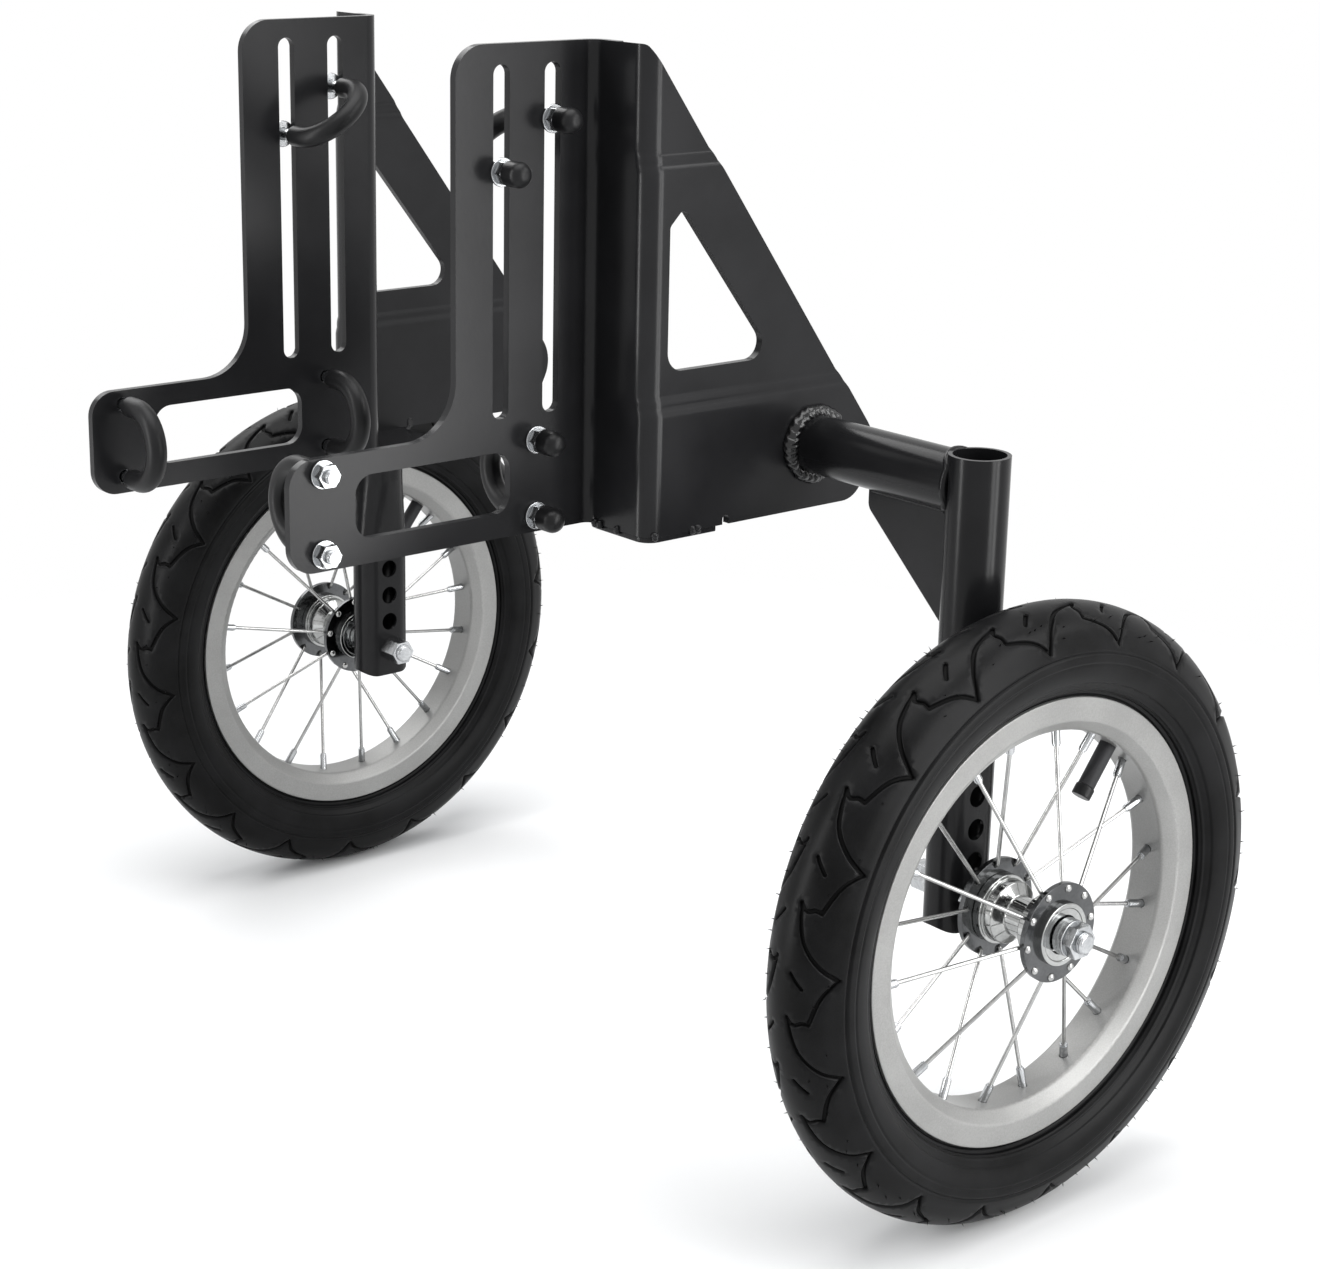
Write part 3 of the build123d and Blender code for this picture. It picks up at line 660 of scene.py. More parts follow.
@dataclass(frozen=True)
class Rounded:
    """A CAD node that is shown with rounded edges, whose width is in millimetres."""

    node: str
    width: float
    finish: Finish
    shared: bool = False
    segments: int = 2
    sharp: float = 30.0
    merge: float = 2e-6
    flat: float = 0.6
    levelling: int = 100

    def names(self) -> list[str]:
        """Full names of the CAD nodes, one for each side unless they share one."""
        return [self.node] if self.shared else [f"{side.prefix}_{self.node}" for side in Side]

    def mesh(self, node: bpy.types.Object, shape: Shape | None = None) -> bpy.types.Mesh:
        """Makes the rounded copy.

        Args:
            node: The CAD node.
            shape: Changes the copy before its edges are rounded.
        Returns:
            The mesh.
        """
        work = bmesh.new()
        work.from_mesh(node.data)
        bmesh.ops.remove_doubles(work, verts=work.verts, dist=self.merge)
        bmesh.ops.dissolve_limit(
            work,
            angle_limit=math.radians(self.flat),
            use_dissolve_boundaries=False,
            verts=work.verts,
            edges=work.edges,
        )
        if shape:
            shape(work)
        return evaluated(mesh_of(work, node.name + "_soft"), self._dress)

    def _dress(self, holder: bpy.types.Object) -> None:
        """Adds the rounding and evens out the shading.

        Args:
            holder: The object that gets the modifiers.
        """
        bevel = holder.modifiers.new("bevel", "BEVEL")
        bevel.width = self.width * MM
        bevel.segments = self.segments
        bevel.limit_method = "ANGLE"
        bevel.angle_limit = math.radians(self.sharp)
        bevel.miter_outer = "MITER_ARC"
        holder.modifiers.new("level", "WEIGHTED_NORMAL").weight = self.levelling


# Geometry Nodes


class Pattern(Enum):
    """The ways in which a piece is repeated or run along a path."""

    SWEEP = "sweep"
    ORBIT = "orbit"
    BEADS = "beads"
    HAIRS = "hairs"


class Graph(Tree):
    """A Geometry Nodes group with a geometry, a material and named sizes as inputs."""

    def __init__(self, pattern: Pattern, **sizes: str) -> None:
        """Starts a group.

        Args:
            pattern: What it is for.
            sizes: Kind of each named input.
        """
        super().__init__(bpy.data.node_groups.new(pattern.value, "GeometryNodeTree"))
        face = self.tree.interface
        face.new_socket("Geometry", in_out="INPUT", socket_type="NodeSocketGeometry")
        self.ids = {
            key: face.new_socket(key, in_out="INPUT", socket_type=f"NodeSocket{kind}").identifier
            for key, kind in {"Material": "Material", **sizes}.items()
        }
        face.new_socket("Geometry", in_out="OUTPUT", socket_type="NodeSocketGeometry")
        self.given = self.add("NodeGroupInput").outputs

    def close(self, geometry: bpy.types.Node) -> "Graph":
        """Realizes, smooths and paints the geometry and sends it out.

        Args:
            geometry: The last node before that.
        Returns:
            This group.
        """
        real = self.add("GeometryNodeRealizeInstances", None, {"Geometry": geometry})
        smooth = self.add("GeometryNodeSetShadeSmooth", None, {"Geometry": real})
        sockets = {"Geometry": smooth, "Material": self.given["Material"]}
        self.add("NodeGroupOutput", None, {0: self.add("GeometryNodeSetMaterial", None, sockets)})
        return self

    def run(self, mesh: bpy.types.Mesh, material: bpy.types.Material, **sizes: float) -> bpy.types.Mesh:
        """Runs the group on a mesh.

        Args:
            mesh: The input geometry.
            material: What the result is painted with.
            sizes: Values of the named inputs.
        Returns:
            A plain mesh.
        """

        def dress(holder: bpy.types.Object) -> None:
            """Adds the group and sets its inputs.

            Args:
                holder: The object that gets it.
            """
            modifier = holder.modifiers.new("graph", "NODES")
            modifier.node_group = self.tree
            for key, value in {"Material": material, **sizes}.items():
                modifier[self.ids[key]] = value

        return evaluated(mesh, dress)


class Graphs:
    """The Geometry Nodes groups, one for each pattern."""

    BEAD_SEGMENTS = 14
    BEAD_RINGS = 8
    BEAD_SIZES = (0.88, 1.12)
    HAIR_SIDES = 6

    def __init__(self) -> None:
        """Builds the groups."""
        self.groups = {
            Pattern.SWEEP: self._sweep(),
            Pattern.ORBIT: self._orbit(),
            Pattern.BEADS: self._beads(),
            Pattern.HAIRS: self._hairs(),
        }

    @staticmethod
    def _sweep() -> Graph:
        """A round bar along a path.

        Returns:
            The group.
        """
        graph = Graph(Pattern.SWEEP, Radius="Float", Sides="Int")
        given = graph.given
        path = graph.add("GeometryNodeMeshToCurve", None, {"Mesh": given["Geometry"]})
        circle = {"Resolution": given["Sides"], "Radius": given["Radius"]}
        ring = graph.add("GeometryNodeCurvePrimitiveCircle", None, circle)
        bar = {"Curve": path, "Profile Curve": ring, "Fill Caps": True}
        return graph.close(graph.add("GeometryNodeCurveToMesh", None, bar))

    @staticmethod
    def _orbit() -> Graph:
        """Copies of a piece round the Y axis.

        Returns:
            The group.
        """
        graph = Graph(Pattern.ORBIT, Count="Int", Step="Float", Start="Float")
        given = graph.given
        points = graph.add("GeometryNodePoints", None, {"Count": given["Count"]})
        index = graph.value(graph.add("GeometryNodeInputIndex"))
        turn = index * Sock(graph, given["Step"]) + Sock(graph, given["Start"])
        euler = graph.add("ShaderNodeCombineXYZ", None, {"Y": turn})
        copies = {"Points": points, "Instance": given["Geometry"], "Rotation": euler}
        return graph.close(graph.add("GeometryNodeInstanceOnPoints", None, copies))

    @classmethod
    def _beads(cls) -> Graph:
        """Overlapping drops of weld of uneven size along a path.

        Returns:
            The group.
        """
        graph = Graph(Pattern.BEADS, Pitch="Float", Radius="Float", Flat="Float", Slope="Float", Seed="Int")
        given = graph.given
        path = graph.add("GeometryNodeMeshToCurve", None, {"Mesh": given["Geometry"]})
        spacing = {"Curve": path, "Length": given["Pitch"]}
        dots = graph.add("GeometryNodeCurveToPoints", {"mode": "LENGTH"}, spacing)
        drop = {"Segments": cls.BEAD_SEGMENTS, "Rings": cls.BEAD_RINGS, "Radius": given["Radius"]}
        ball = graph.add("GeometryNodeMeshUVSphere", None, drop)
        low, high = cls.BEAD_SIZES
        chance = {"Min": low, "Max": high, "Seed": given["Seed"]}
        wobble = graph.add("FunctionNodeRandomValue", {"data_type": "FLOAT"}, chance)
        size = graph.add("ShaderNodeCombineXYZ", None, {"X": 1.0, "Y": 1.0, "Z": given["Flat"]})
        scale = graph.add("ShaderNodeVectorMath", {"operation": "SCALE"}, {0: size, "Scale": wobble})
        along = {"Points": dots, "Instance": ball, "Rotation": dots.outputs["Rotation"], "Scale": scale}
        copies = graph.add("GeometryNodeInstanceOnPoints", None, along)
        tilt = graph.add("ShaderNodeCombineXYZ", None, {"X": given["Slope"]})
        turned = {"Instances": copies, "Rotation": tilt}
        return graph.close(graph.add("GeometryNodeRotateInstances", None, turned))

    @classmethod
    def _hairs(cls) -> Graph:
        """Thin cones on points that hold their direction and length.

        Returns:
            The group.
        """
        graph = Graph(Pattern.HAIRS, Radius="Float")
        given = graph.given
        dots = graph.add("GeometryNodeMeshToPoints", None, {"Mesh": given["Geometry"]})
        way = graph.add("GeometryNodeInputNamedAttribute", {"data_type": "FLOAT_VECTOR"}, {"Name": "way"})
        size = graph.add("GeometryNodeInputNamedAttribute", {"data_type": "FLOAT"}, {"Name": "size"})
        aim = graph.add("FunctionNodeAlignRotationToVector", {"axis": "Z"}, {"Vector": way})
        spike = {"Vertices": cls.HAIR_SIDES, "Radius Top": 0.0, "Radius Bottom": given["Radius"]}
        cone = graph.add("GeometryNodeMeshCone", None, {**spike, "Depth": 1.0})
        scale = graph.add("ShaderNodeCombineXYZ", None, {"X": 1.0, "Y": 1.0, "Z": size})
        copies = {"Points": dots, "Instance": cone, "Rotation": aim, "Scale": scale}
        return graph.close(graph.add("GeometryNodeInstanceOnPoints", None, copies))


# Workshop


class Workshop:
    """Finishes, patterns and CAD nodes, and the way in which a piece is put in the scene."""

    def __init__(self) -> None:
        """Makes the finishes and the patterns and reads the frame's tables."""
        self.looks = {finish: finish.value.make() for finish in Finish}
        self.graphs = Graphs()
        self.nodes: dict[str, bpy.types.Object] = frame["nodes"]
        self.slots = {s["node"]: s["material_slot"] for s in RECORD["subparts"]}
        self.body = {n: body for body, members in RECORD["behaviour"]["bodies"].items() for n in members}

    def paint_nodes(self) -> None:
        """Gives every CAD node its finish."""
        for name, node in self.nodes.items():
            node.data.materials.clear()
            node.data.materials.append(self.looks[SLOT_FINISH[self.slots[name]]])

    def run(self, pattern: Pattern, mesh: bpy.types.Mesh, finish: Finish, **sizes: float) -> bpy.types.Mesh:
        """Runs a pattern on a mesh.

        Args:
            pattern: Which one.
            mesh: The path, the points or the piece.
            finish: The finish of the result.
            sizes: Values of the pattern's named inputs.
        Returns:
            A plain mesh.
        """
        return self.graphs.groups[pattern].run(mesh, self.looks[finish], **sizes)

    def show(
        self,
        mesh: bpy.types.Mesh,
        name: str,
        finish: Finish,
        stands_for: Sequence[str] = (),
        beside: str = "",
    ) -> None:
        """Puts a finished mesh in the scene.

        Args:
            mesh: The piece, in the row frame.
            name: Its name.
            finish: Its finish.
            stands_for: CAD nodes that it replaces.
            beside: CAD node whose body it takes when it replaces none.
        """
        mesh.materials.clear()
        mesh.materials.append(self.looks[finish])
        piece = bpy.data.objects.new(name, mesh)
        bpy.context.scene.collection.objects.link(piece)
        model = stands_for[0] if stands_for else beside
        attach(piece, self.body[model])
        if stands_for:
            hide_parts(*stands_for)
        LOG.info("%s: %d faces, on %s", name, len(mesh.polygons), model)

    def pair(
        self, mesh: bpy.types.Mesh, name: str, finish: Finish, stands_for: str = "", beside: str = ""
    ) -> None:
        """Shows a left piece and its mirror image.

        Args:
            mesh: The left piece.
            name: Its name without its side.
            finish: Its finish.
            stands_for: CAD node that it replaces, without its side.
            beside: CAD node whose body it takes otherwise, without its side.
        """
        for side in Side:
            model = mesh if side is Side.LEFT else mirrored(mesh)
            start = side.prefix + "_"
            nodes = [start + stands_for] if stands_for else []
            self.show(model, start + name, finish, nodes, start + beside)

    def rounded(self, pieces: Sequence[Rounded], shape: Shape | None = None) -> None:
        """Shows CAD nodes with rounded edges.

        Args:
            pieces: The nodes.
            shape: Changes each copy before its edges are rounded.
        """
        for piece in pieces:
            for name in piece.names():
                self.show(piece.mesh(self.nodes[name], shape), f"{name}_shown", piece.finish, [name])


def cut_plane(work: bmesh.types.BMesh, at: Point, normal: Point, clear: bool = False) -> None:
    """Cuts a mesh along a plane.

    Args:
        work: The mesh.
        at: A point of the plane.
        normal: The plane's direction.
        clear: Whether what lies beyond the plane is taken away.
    """
    every = [*work.verts, *work.edges, *work.faces]
    bmesh.ops.bisect_plane(work, geom=every, plane_co=at, plane_no=normal, clear_outer=clear)


@dataclass(frozen=True)
class Thread:
    """Ridge of a thread along Y, in millimetres from the axle."""

    x: float
    z: float
    start: float
    end: float
    radius: float
    pitch: float = 0.9
    ridge: float = 0.28
    sides: int = 6
    steps: int = 28

    def mesh(self, shop: Workshop) -> bpy.types.Mesh:
        """Makes the ridge.

        Args:
            shop: What sweeps it.
        Returns:
            The mesh.
        """
        points = []
        for t in np.arange(0, (self.end - self.start) / self.pitch, 1 / self.steps):
            a = TURN * t
            place = (self.x + self.radius * math.cos(a), self.z + self.radius * math.sin(a))
            points.append(world(place[0], self.start + self.pitch * t, place[1]))
        return shop.run(
            Pattern.SWEEP, path_mesh(points), Finish.ZINC, Radius=self.ridge * MM, Sides=self.sides
        )


# Sub-assemblies


@dataclass
class Bracket:
    """Folded bracket plate and its foot, in millimetres from the axle."""

    shop: Workshop
    plate: Rounded = Rounded("bracket", 0.7, Finish.COAT)
    foot: Rounded = Rounded("bracket_foot", 0.6, Finish.COAT)
    steps: tuple[tuple[float, float], ...] = ((217.0, 229.0), (328.0, 340.0))
    step_depth: float = 2.5
    step_cuts: int = 9
    step_margin: float = 0.15
    wall_start: float = 108.0
    tack_spots: tuple[tuple[float, float], ...] = (
        (104.2, 95.0), (104.4, 98.6), (103.9, 111.0), (98.0, 131.2), (72.0, 131.4), (75.4, 131.4),
    )
    tack_heights: tuple[float, float] = (162.4, 164.2)
    tack_radius: float = 1.7
    tack_pitch: float = 0.9
    tack_lean: tuple[float, float] = (0.3, 0.2)
    tack_flat: float = 0.8
    tack_slope: float = 0.3
    tack_seed: int = 5

    def build(self) -> None:
        """Shows the plate with its pressed steps, the foot and the foot's tack welds."""
        self.shop.rounded([self.plate], self._press)
        self.shop.rounded([self.foot])
        self.shop.pair(self._tacks(), "foot_tacks", Finish.COAT, beside="bracket_foot")

    def _press(self, work: bmesh.types.BMesh) -> None:
        """Presses the two ramps of the outer wall into soft S-shaped steps.

        Args:
            work: The plate's mesh.
        """
        margin = self.step_margin
        for low, high in self.steps:
            rise = high - low
            for share in np.linspace(margin, 1 - margin, self.step_cuts):
                cut_plane(work, world(0, 0, low + share * rise), (0, 0, 1))
            for vertex in work.verts:
                share = (vertex.co.z / MM - AXLE_Z - low) / rise
                if 0 < share < 1 and abs(vertex.co.y) > self.wall_start * MM:
                    ease = min(max((share - margin) / (1 - 2 * margin), 0), 1)
                    ease = ease * ease * (3 - 2 * ease)
                    vertex.co.y += math.copysign(self.step_depth * MM * (share - ease), vertex.co.y)

    def _tacks(self) -> bpy.types.Mesh:
        """Makes the blobs of weld between the plate and its foot.

        Returns:
            The mesh.
        """
        low, high = self.tack_heights
        forward, out = self.tack_lean
        tacks = []
        for number, (x, y) in enumerate(self.tack_spots):
            short = path_mesh([world(x, y, low), world(x + forward, y + out, high)])
            tacks.append(
                self.shop.run(
                    Pattern.BEADS,
                    short,
                    Finish.COAT,
                    Pitch=self.tack_pitch * MM,
                    Radius=self.tack_radius * MM,
                    Flat=self.tack_flat,
                    Slope=self.tack_slope,
                    Seed=self.tack_seed + number,
                )
            )
        return joined(tacks, "tacks")


@dataclass
class Arm:
    """Arm tube, leg tube and gusset with their welds, in millimetres from the axle."""

    shop: Workshop
    arm: Rounded = Rounded("arm_tube", 0.4, Finish.TUBE)
    others: tuple[Rounded, ...] = (
        Rounded("leg_tube", 0.5, Finish.TUBE),
        Rounded("gusset", 0.7, Finish.COAT),
    )
    beads: Rounded = Rounded("weld_beads", 0.6, Finish.WELD, shared=True)
    root_y: float = 132.0
    arm_z: float = 195.0
    arm_end: float = 230.6
    leg_y: float = 240.0
    tube_radius: float = 14.3
    seam_radius: float = 1.9
    gusset_seam_radius: float = 1.2
    gusset_seam_x: float = 2.0
    gusset_seam_gap: float = 14.2
    gusset_along: tuple[float, float] = (176.0, 223.0)
    gusset_down: tuple[float, float] = (178.0, 125.0)
    saddle_steps: int = 72
    saddle_gap: float = 0.3
    saddle_tuck: float = 0.8
    saddle_past_end: float = 0.4
    saddle_sides: int = 12
    seam_steps: int = 20
    seam_sides: int = 10
    ring_scales: int = 29
    ring_columns: int = 348
    ring_rows: int = 15
    ring_arc: tuple[float, float] = (-35.0, 155.0)
    ring_radius: float = 14.9
    ring_lift: float = 0.6
    ring_size: float = 3.9
    swells: tuple[tuple[float, int, float], ...] = ((0.45, 3, 0.8), (0.3, 5, 2.0), (0.22, 11, 0.0))
    bow: float = 0.55
    bow_middle: float = 0.9
    drift: float = 0.25
    drift_waves: int = 4
    ripple: float = 0.85
    ripple_edge: int = 6

    def build(self) -> None:
        """Shows the tubes, the gusset and their welds."""
        self.shop.rounded([self.arm], self._trim)
        self.shop.rounded(self.others)
        node = self.beads.node
        ring = self._ring()
        both = joined([self.beads.mesh(self.shop.nodes[node]), ring, mirrored(ring)], "weld_rings")
        self.shop.show(both, f"{node}_shown", self.beads.finish, [node])
        self.shop.pair(self._seams(), "arm_seams", Finish.TUBE, beside="arm_tube")

    def _trim(self, work: bmesh.types.BMesh) -> None:
        """Cuts the arm off at the leg's wall.

        Args:
            work: The arm's mesh.
        """
        for side in Side:
            y = side.value
            cut_plane(work, (0, y * self.arm_end * MM, 0), (0, y, 0), clear=True)

    def _ring(self) -> bpy.types.Mesh:
        """Makes the rippled weld of the left arm's root: overlapping scales of uneven size.

        Returns:
            The mesh.
        """
        vertices = []
        for a in np.linspace(0, TURN, self.ring_columns, endpoint=False):
            swell = sum(height * math.sin(waves * a + start) for height, waves, start in self.swells)
            drift = self.drift * math.sin(self.drift_waves * a)
            for q in np.radians(np.linspace(*self.ring_arc, self.ring_rows)):
                bow = self.bow * math.cos(2 * (q - self.bow_middle)) + drift
                crest = (self.ring_scales * a / TURN + bow) % 1
                ripple = self.ripple * math.sqrt(crest) * (1 - crest**self.ripple_edge)
                size = self.ring_size + swell + ripple
                r = self.ring_radius + size * math.cos(q)
                y = self.root_y + self.ring_lift + size * math.sin(q)
                vertices.append(world(r * math.cos(a), y, self.arm_z + r * math.sin(a)))
        return mesh_from(vertices, grid_faces(self.ring_columns, self.ring_rows), "weld_ring")

    def _seams(self) -> bpy.types.Mesh:
        """Makes the smooth seams of the leg and of the gusset.

        Returns:
            The mesh.
        """
        saddle = []
        for a in np.linspace(0, TURN, self.saddle_steps, endpoint=False):
            y = self.leg_y - self.tube_radius * abs(math.sin(a)) - self.saddle_gap
            r = self.tube_radius - (self.saddle_tuck if y > self.arm_end else 0)
            y = min(y, self.arm_end + self.saddle_past_end)
            saddle.append(world(r * math.cos(a), y, self.arm_z + r * math.sin(a)))
        seams = [self._seam(path_mesh(saddle, True), self.seam_radius, self.saddle_sides)]
        under, beside = self.arm_z - self.gusset_seam_gap, self.leg_y - self.gusset_seam_gap
        for x in (-self.gusset_seam_x, self.gusset_seam_x):
            along = [world(x, y, under) for y in np.linspace(*self.gusset_along, self.seam_steps)]
            down = [world(x, beside, z) for z in np.linspace(*self.gusset_down, self.seam_steps)]
            for line in (along, down):
                seams.append(self._seam(path_mesh(line), self.gusset_seam_radius, self.seam_sides))
        return joined(seams, "seams")

    def _seam(self, path: bpy.types.Mesh, radius: float, sides: int) -> bpy.types.Mesh:
        """Makes one seam.

        Args:
            path: Its line.
            radius: Its radius in millimetres.
            sides: Steps round it.
        Returns:
            The mesh.
        """
        return self.shop.run(Pattern.SWEEP, path, Finish.TUBE, Radius=radius * MM, Sides=sides)


@dataclass
class Clamps:
    """U-bolt clamps for the seat stay and the chain stay, in millimetres from the axle."""

    shop: Workshop
    pieces: tuple[Rounded, ...] = (
        Rounded("seat_stay_washers", 0.3, Finish.ZINC),
        Rounded("seat_stay_nuts", 0.45, Finish.ZINC),
        Rounded("seat_stay_caps", 0.5, Finish.CAP),
        Rounded("seat_stay_sleeve", 0.8, Finish.SLEEVE),
        Rounded("chain_stay_washers", 0.3, Finish.ZINC, shared=True),
        Rounded("chain_stay_nuts", 0.45, Finish.ZINC, shared=True),
        Rounded("chain_stay_caps", 0.5, Finish.CAP, shared=True),
        Rounded("chain_stay_sleeves", 0.8, Finish.SLEEVE, shared=True),
    )
    threads: tuple[Thread, ...] = (
        Thread(x=253, z=171, start=96.6, end=99.3, radius=2.95),
        Thread(x=253, z=207, start=96.6, end=99.3, radius=2.95),
    )

    def build(self) -> None:
        """Shows the clamps and the threads on the bare ends of the front U-bolts."""
        self.shop.rounded(self.pieces)
        ridges = joined([thread.mesh(self.shop) for thread in self.threads], "bolt_threads")
        self.shop.pair(ridges, "bolt_threads", Finish.ZINC, beside="chain_stay_u_bolts")


@dataclass
class Hub:
    """Axle with its nuts and cones, and the hub that turns on it, in millimetres from the axle."""

    shop: Workshop
    pieces: tuple[Rounded, ...] = (
        Rounded("axle", 0.3, Finish.ZINC),
        Rounded("axle_nuts", 0.45, Finish.ZINC, shared=True),
        Rounded("bearing_cones", 0.35, Finish.STEEL, shared=True),
        Rounded("hub_shell", 0.5, Finish.CHROME),
        Rounded("inner_flange", 0.45, Finish.FLANGE),
        Rounded("outer_flange", 0.45, Finish.FLANGE),
        Rounded("dust_caps", 0.3, Finish.CHROME),
    )
    threads: tuple[Thread, ...] = (
        Thread(x=0, z=0, start=318.4, end=320.3, radius=4.95),
        Thread(x=0, z=0, start=213.7, end=215.0, radius=4.95),
    )

    def build(self) -> None:
        """Shows the hub, the axle and the threads on the axle's ends."""
        self.shop.rounded(self.pieces)
        ridges = joined([thread.mesh(self.shop) for thread in self.threads], "axle_threads")
        self.shop.pair(ridges, "axle_threads", Finish.ZINC, beside="axle")


@dataclass
class Rim:
    """Rim with its valve."""

    shop: Workshop
    pieces: tuple[Rounded, ...] = (
        Rounded("rim", 0.35, Finish.RIM),
        Rounded("valve_stem", 0.4, Finish.INNER),
        Rounded("valve_cap", 0.5, Finish.CAP),
    )

    def build(self) -> None:
        """Shows the rim and the valve."""
        self.shop.rounded(self.pieces)


@dataclass
class Spokes:
    """Spokes with bent elbows and domed heads, and their nipples, in millimetres and degrees."""

    shop: Workshop
    flanges: tuple[tuple[float, int, float], ...] = ((265.0, 1, 46.8), (303.0, -1, 28.8))
    count: int = 10
    flange_half: float = 1.3
    circle: float = 21.1
    radius: float = 1.0
    end: float = 92.0
    wire_sides: int = 12
    elbow_start: float = 0.9
    elbow_run: float = 1.6
    elbow_steps: int = 4
    straight_start: float = 6.0
    stem_overlap: float = 0.4
    head_radius: float = 2.0
    head_height: float = 0.65
    head_segments: int = 14
    head_rings: int = 8
    nipple_sides: int = 16
    nipple_crease: float = 35.0
    nipple: tuple[tuple[float, float, float], ...] = ((-11, -10.2, 1.65), (-10.2, -5.2, 2.0), (-5.2, 4, 2.0))

    def build(self) -> None:
        """Shows the spokes and the nipples of both flanges."""
        wires, nuts = [], []
        for flange, toward, start in self.flanges:
            wires.append(self._ring(self._spoke(flange, toward), Finish.SPOKE, start))
            nuts.append(self._ring(self._nipple(flange, toward), Finish.ZINC, start))
        self.shop.pair(joined(wires, "spokes"), "spokes_shown", Finish.SPOKE, "spokes")
        self.shop.pair(joined(nuts, "nipples"), "nipples_shown", Finish.ZINC, "nipples")

    def _ring(self, mesh: bpy.types.Mesh, finish: Finish, start: float) -> bpy.types.Mesh:
        """Repeats a piece round the axle.

        Args:
            mesh: The piece, along +X from the axle.
            finish: Its finish.
            start: Angle of the first copy in degrees.
        Returns:
            All copies, in the row frame.
        """
        step = -TURN / self.count
        copies = self.shop.run(
            Pattern.ORBIT, mesh, finish, Count=self.count, Step=step, Start=-math.radians(start)
        )
        copies.transform(Matrix.Translation(world(0, 0, 0)))
        return copies

    def _line(self, flange: float, toward: int) -> tuple[Vector, Vector, Vector]:
        """Straight part of a spoke.

        Args:
            flange: Place of its flange along the axle.
            toward: Sign of the way to the wheel's middle.
        Returns:
            Its start, its end and its direction.
        """
        near = flange + toward * (self.flange_half + self.radius)
        start, end = Vector((self.circle, near, 0)), Vector((self.end, WHEEL_Y, 0))
        return start, end, (end - start).normalized()

    def _spoke(self, flange: float, toward: int) -> bpy.types.Mesh:
        """Makes one spoke along +X, with its head outside the flange.

        Args:
            flange: Place of its flange along the axle.
            toward: Sign of the way to the wheel's middle.
        Returns:
            The mesh.
        """
        start, end, run = self._line(flange, toward)
        outside = flange - toward * self.flange_half
        elbow = Vector((self.circle, flange + toward * self.elbow_start, 0))
        bend = [Vector((self.circle, outside - toward * self.stem_overlap, 0)), elbow]
        for step in range(self.elbow_steps):
            t = (step + 1) / self.elbow_steps
            bend.append(elbow.lerp(start, t).lerp(start.lerp(start + run * self.elbow_run, t), t))
        path = path_mesh([tuple(p * MM) for p in [*bend, start + run * self.straight_start, end]])
        size = {"Radius": self.radius * MM, "Sides": self.wire_sides}
        wire = self.shop.run(Pattern.SWEEP, path, Finish.SPOKE, **size)
        dome = bmesh.new()
        round_head = {"u_segments": self.head_segments, "v_segments": self.head_rings}
        bmesh.ops.create_uvsphere(dome, radius=self.head_radius * MM, **round_head)
        bmesh.ops.scale(dome, vec=(1, self.head_height, 1), verts=dome.verts)
        bmesh.ops.translate(dome, vec=Vector((self.circle, outside, 0)) * MM, verts=dome.verts)
        return joined([wire, mesh_of(dome, "head")], "spoke")

    def _nipple(self, flange: float, toward: int) -> bpy.types.Mesh:
        """Makes one nipple along its spoke, with a step at its mouth.

        Args:
            flange: Place of its flange along the axle.
            toward: Sign of the way to the wheel's middle.
        Returns:
            The mesh.
        """
        _, end, run = self._line(flange, toward)
        turn = Vector((0, 0, 1)).rotation_difference(run).to_matrix().to_4x4()
        work = bmesh.new()
        for low, high, radius in self.nipple:
            size = {"radius1": radius * MM, "radius2": radius * MM, "depth": (high - low) * MM}
            part = bmesh.ops.create_cone(work, cap_ends=True, segments=self.nipple_sides, **size)
            place = Matrix.Translation((end + run * (low + high) / 2) * MM) @ turn
            bmesh.ops.transform(work, matrix=place, verts=part["verts"])
        mesh = mesh_of(work, "nipple")
        mesh.set_sharp_from_angle(angle=math.radians(self.nipple_crease))
        return mesh


@dataclass(frozen=True)
class Groove:
    """One groove of the tread through points of (degrees round, degrees across), sizes in millimetres."""

    points: tuple[tuple[float, float], ...]
    steps: int = 12
    half_width: float = 1.05
    depth: float = 1.6
    lip: float = 0.45
    lip_drop: float = 0.3
    floor_share: float = 0.6

    def reaches(self) -> tuple[float, float, float]:
        """Distances from its middle to the floor's edge, the wall's top and the lip's edge."""
        return (self.half_width * self.floor_share, self.half_width, self.half_width + self.lip)


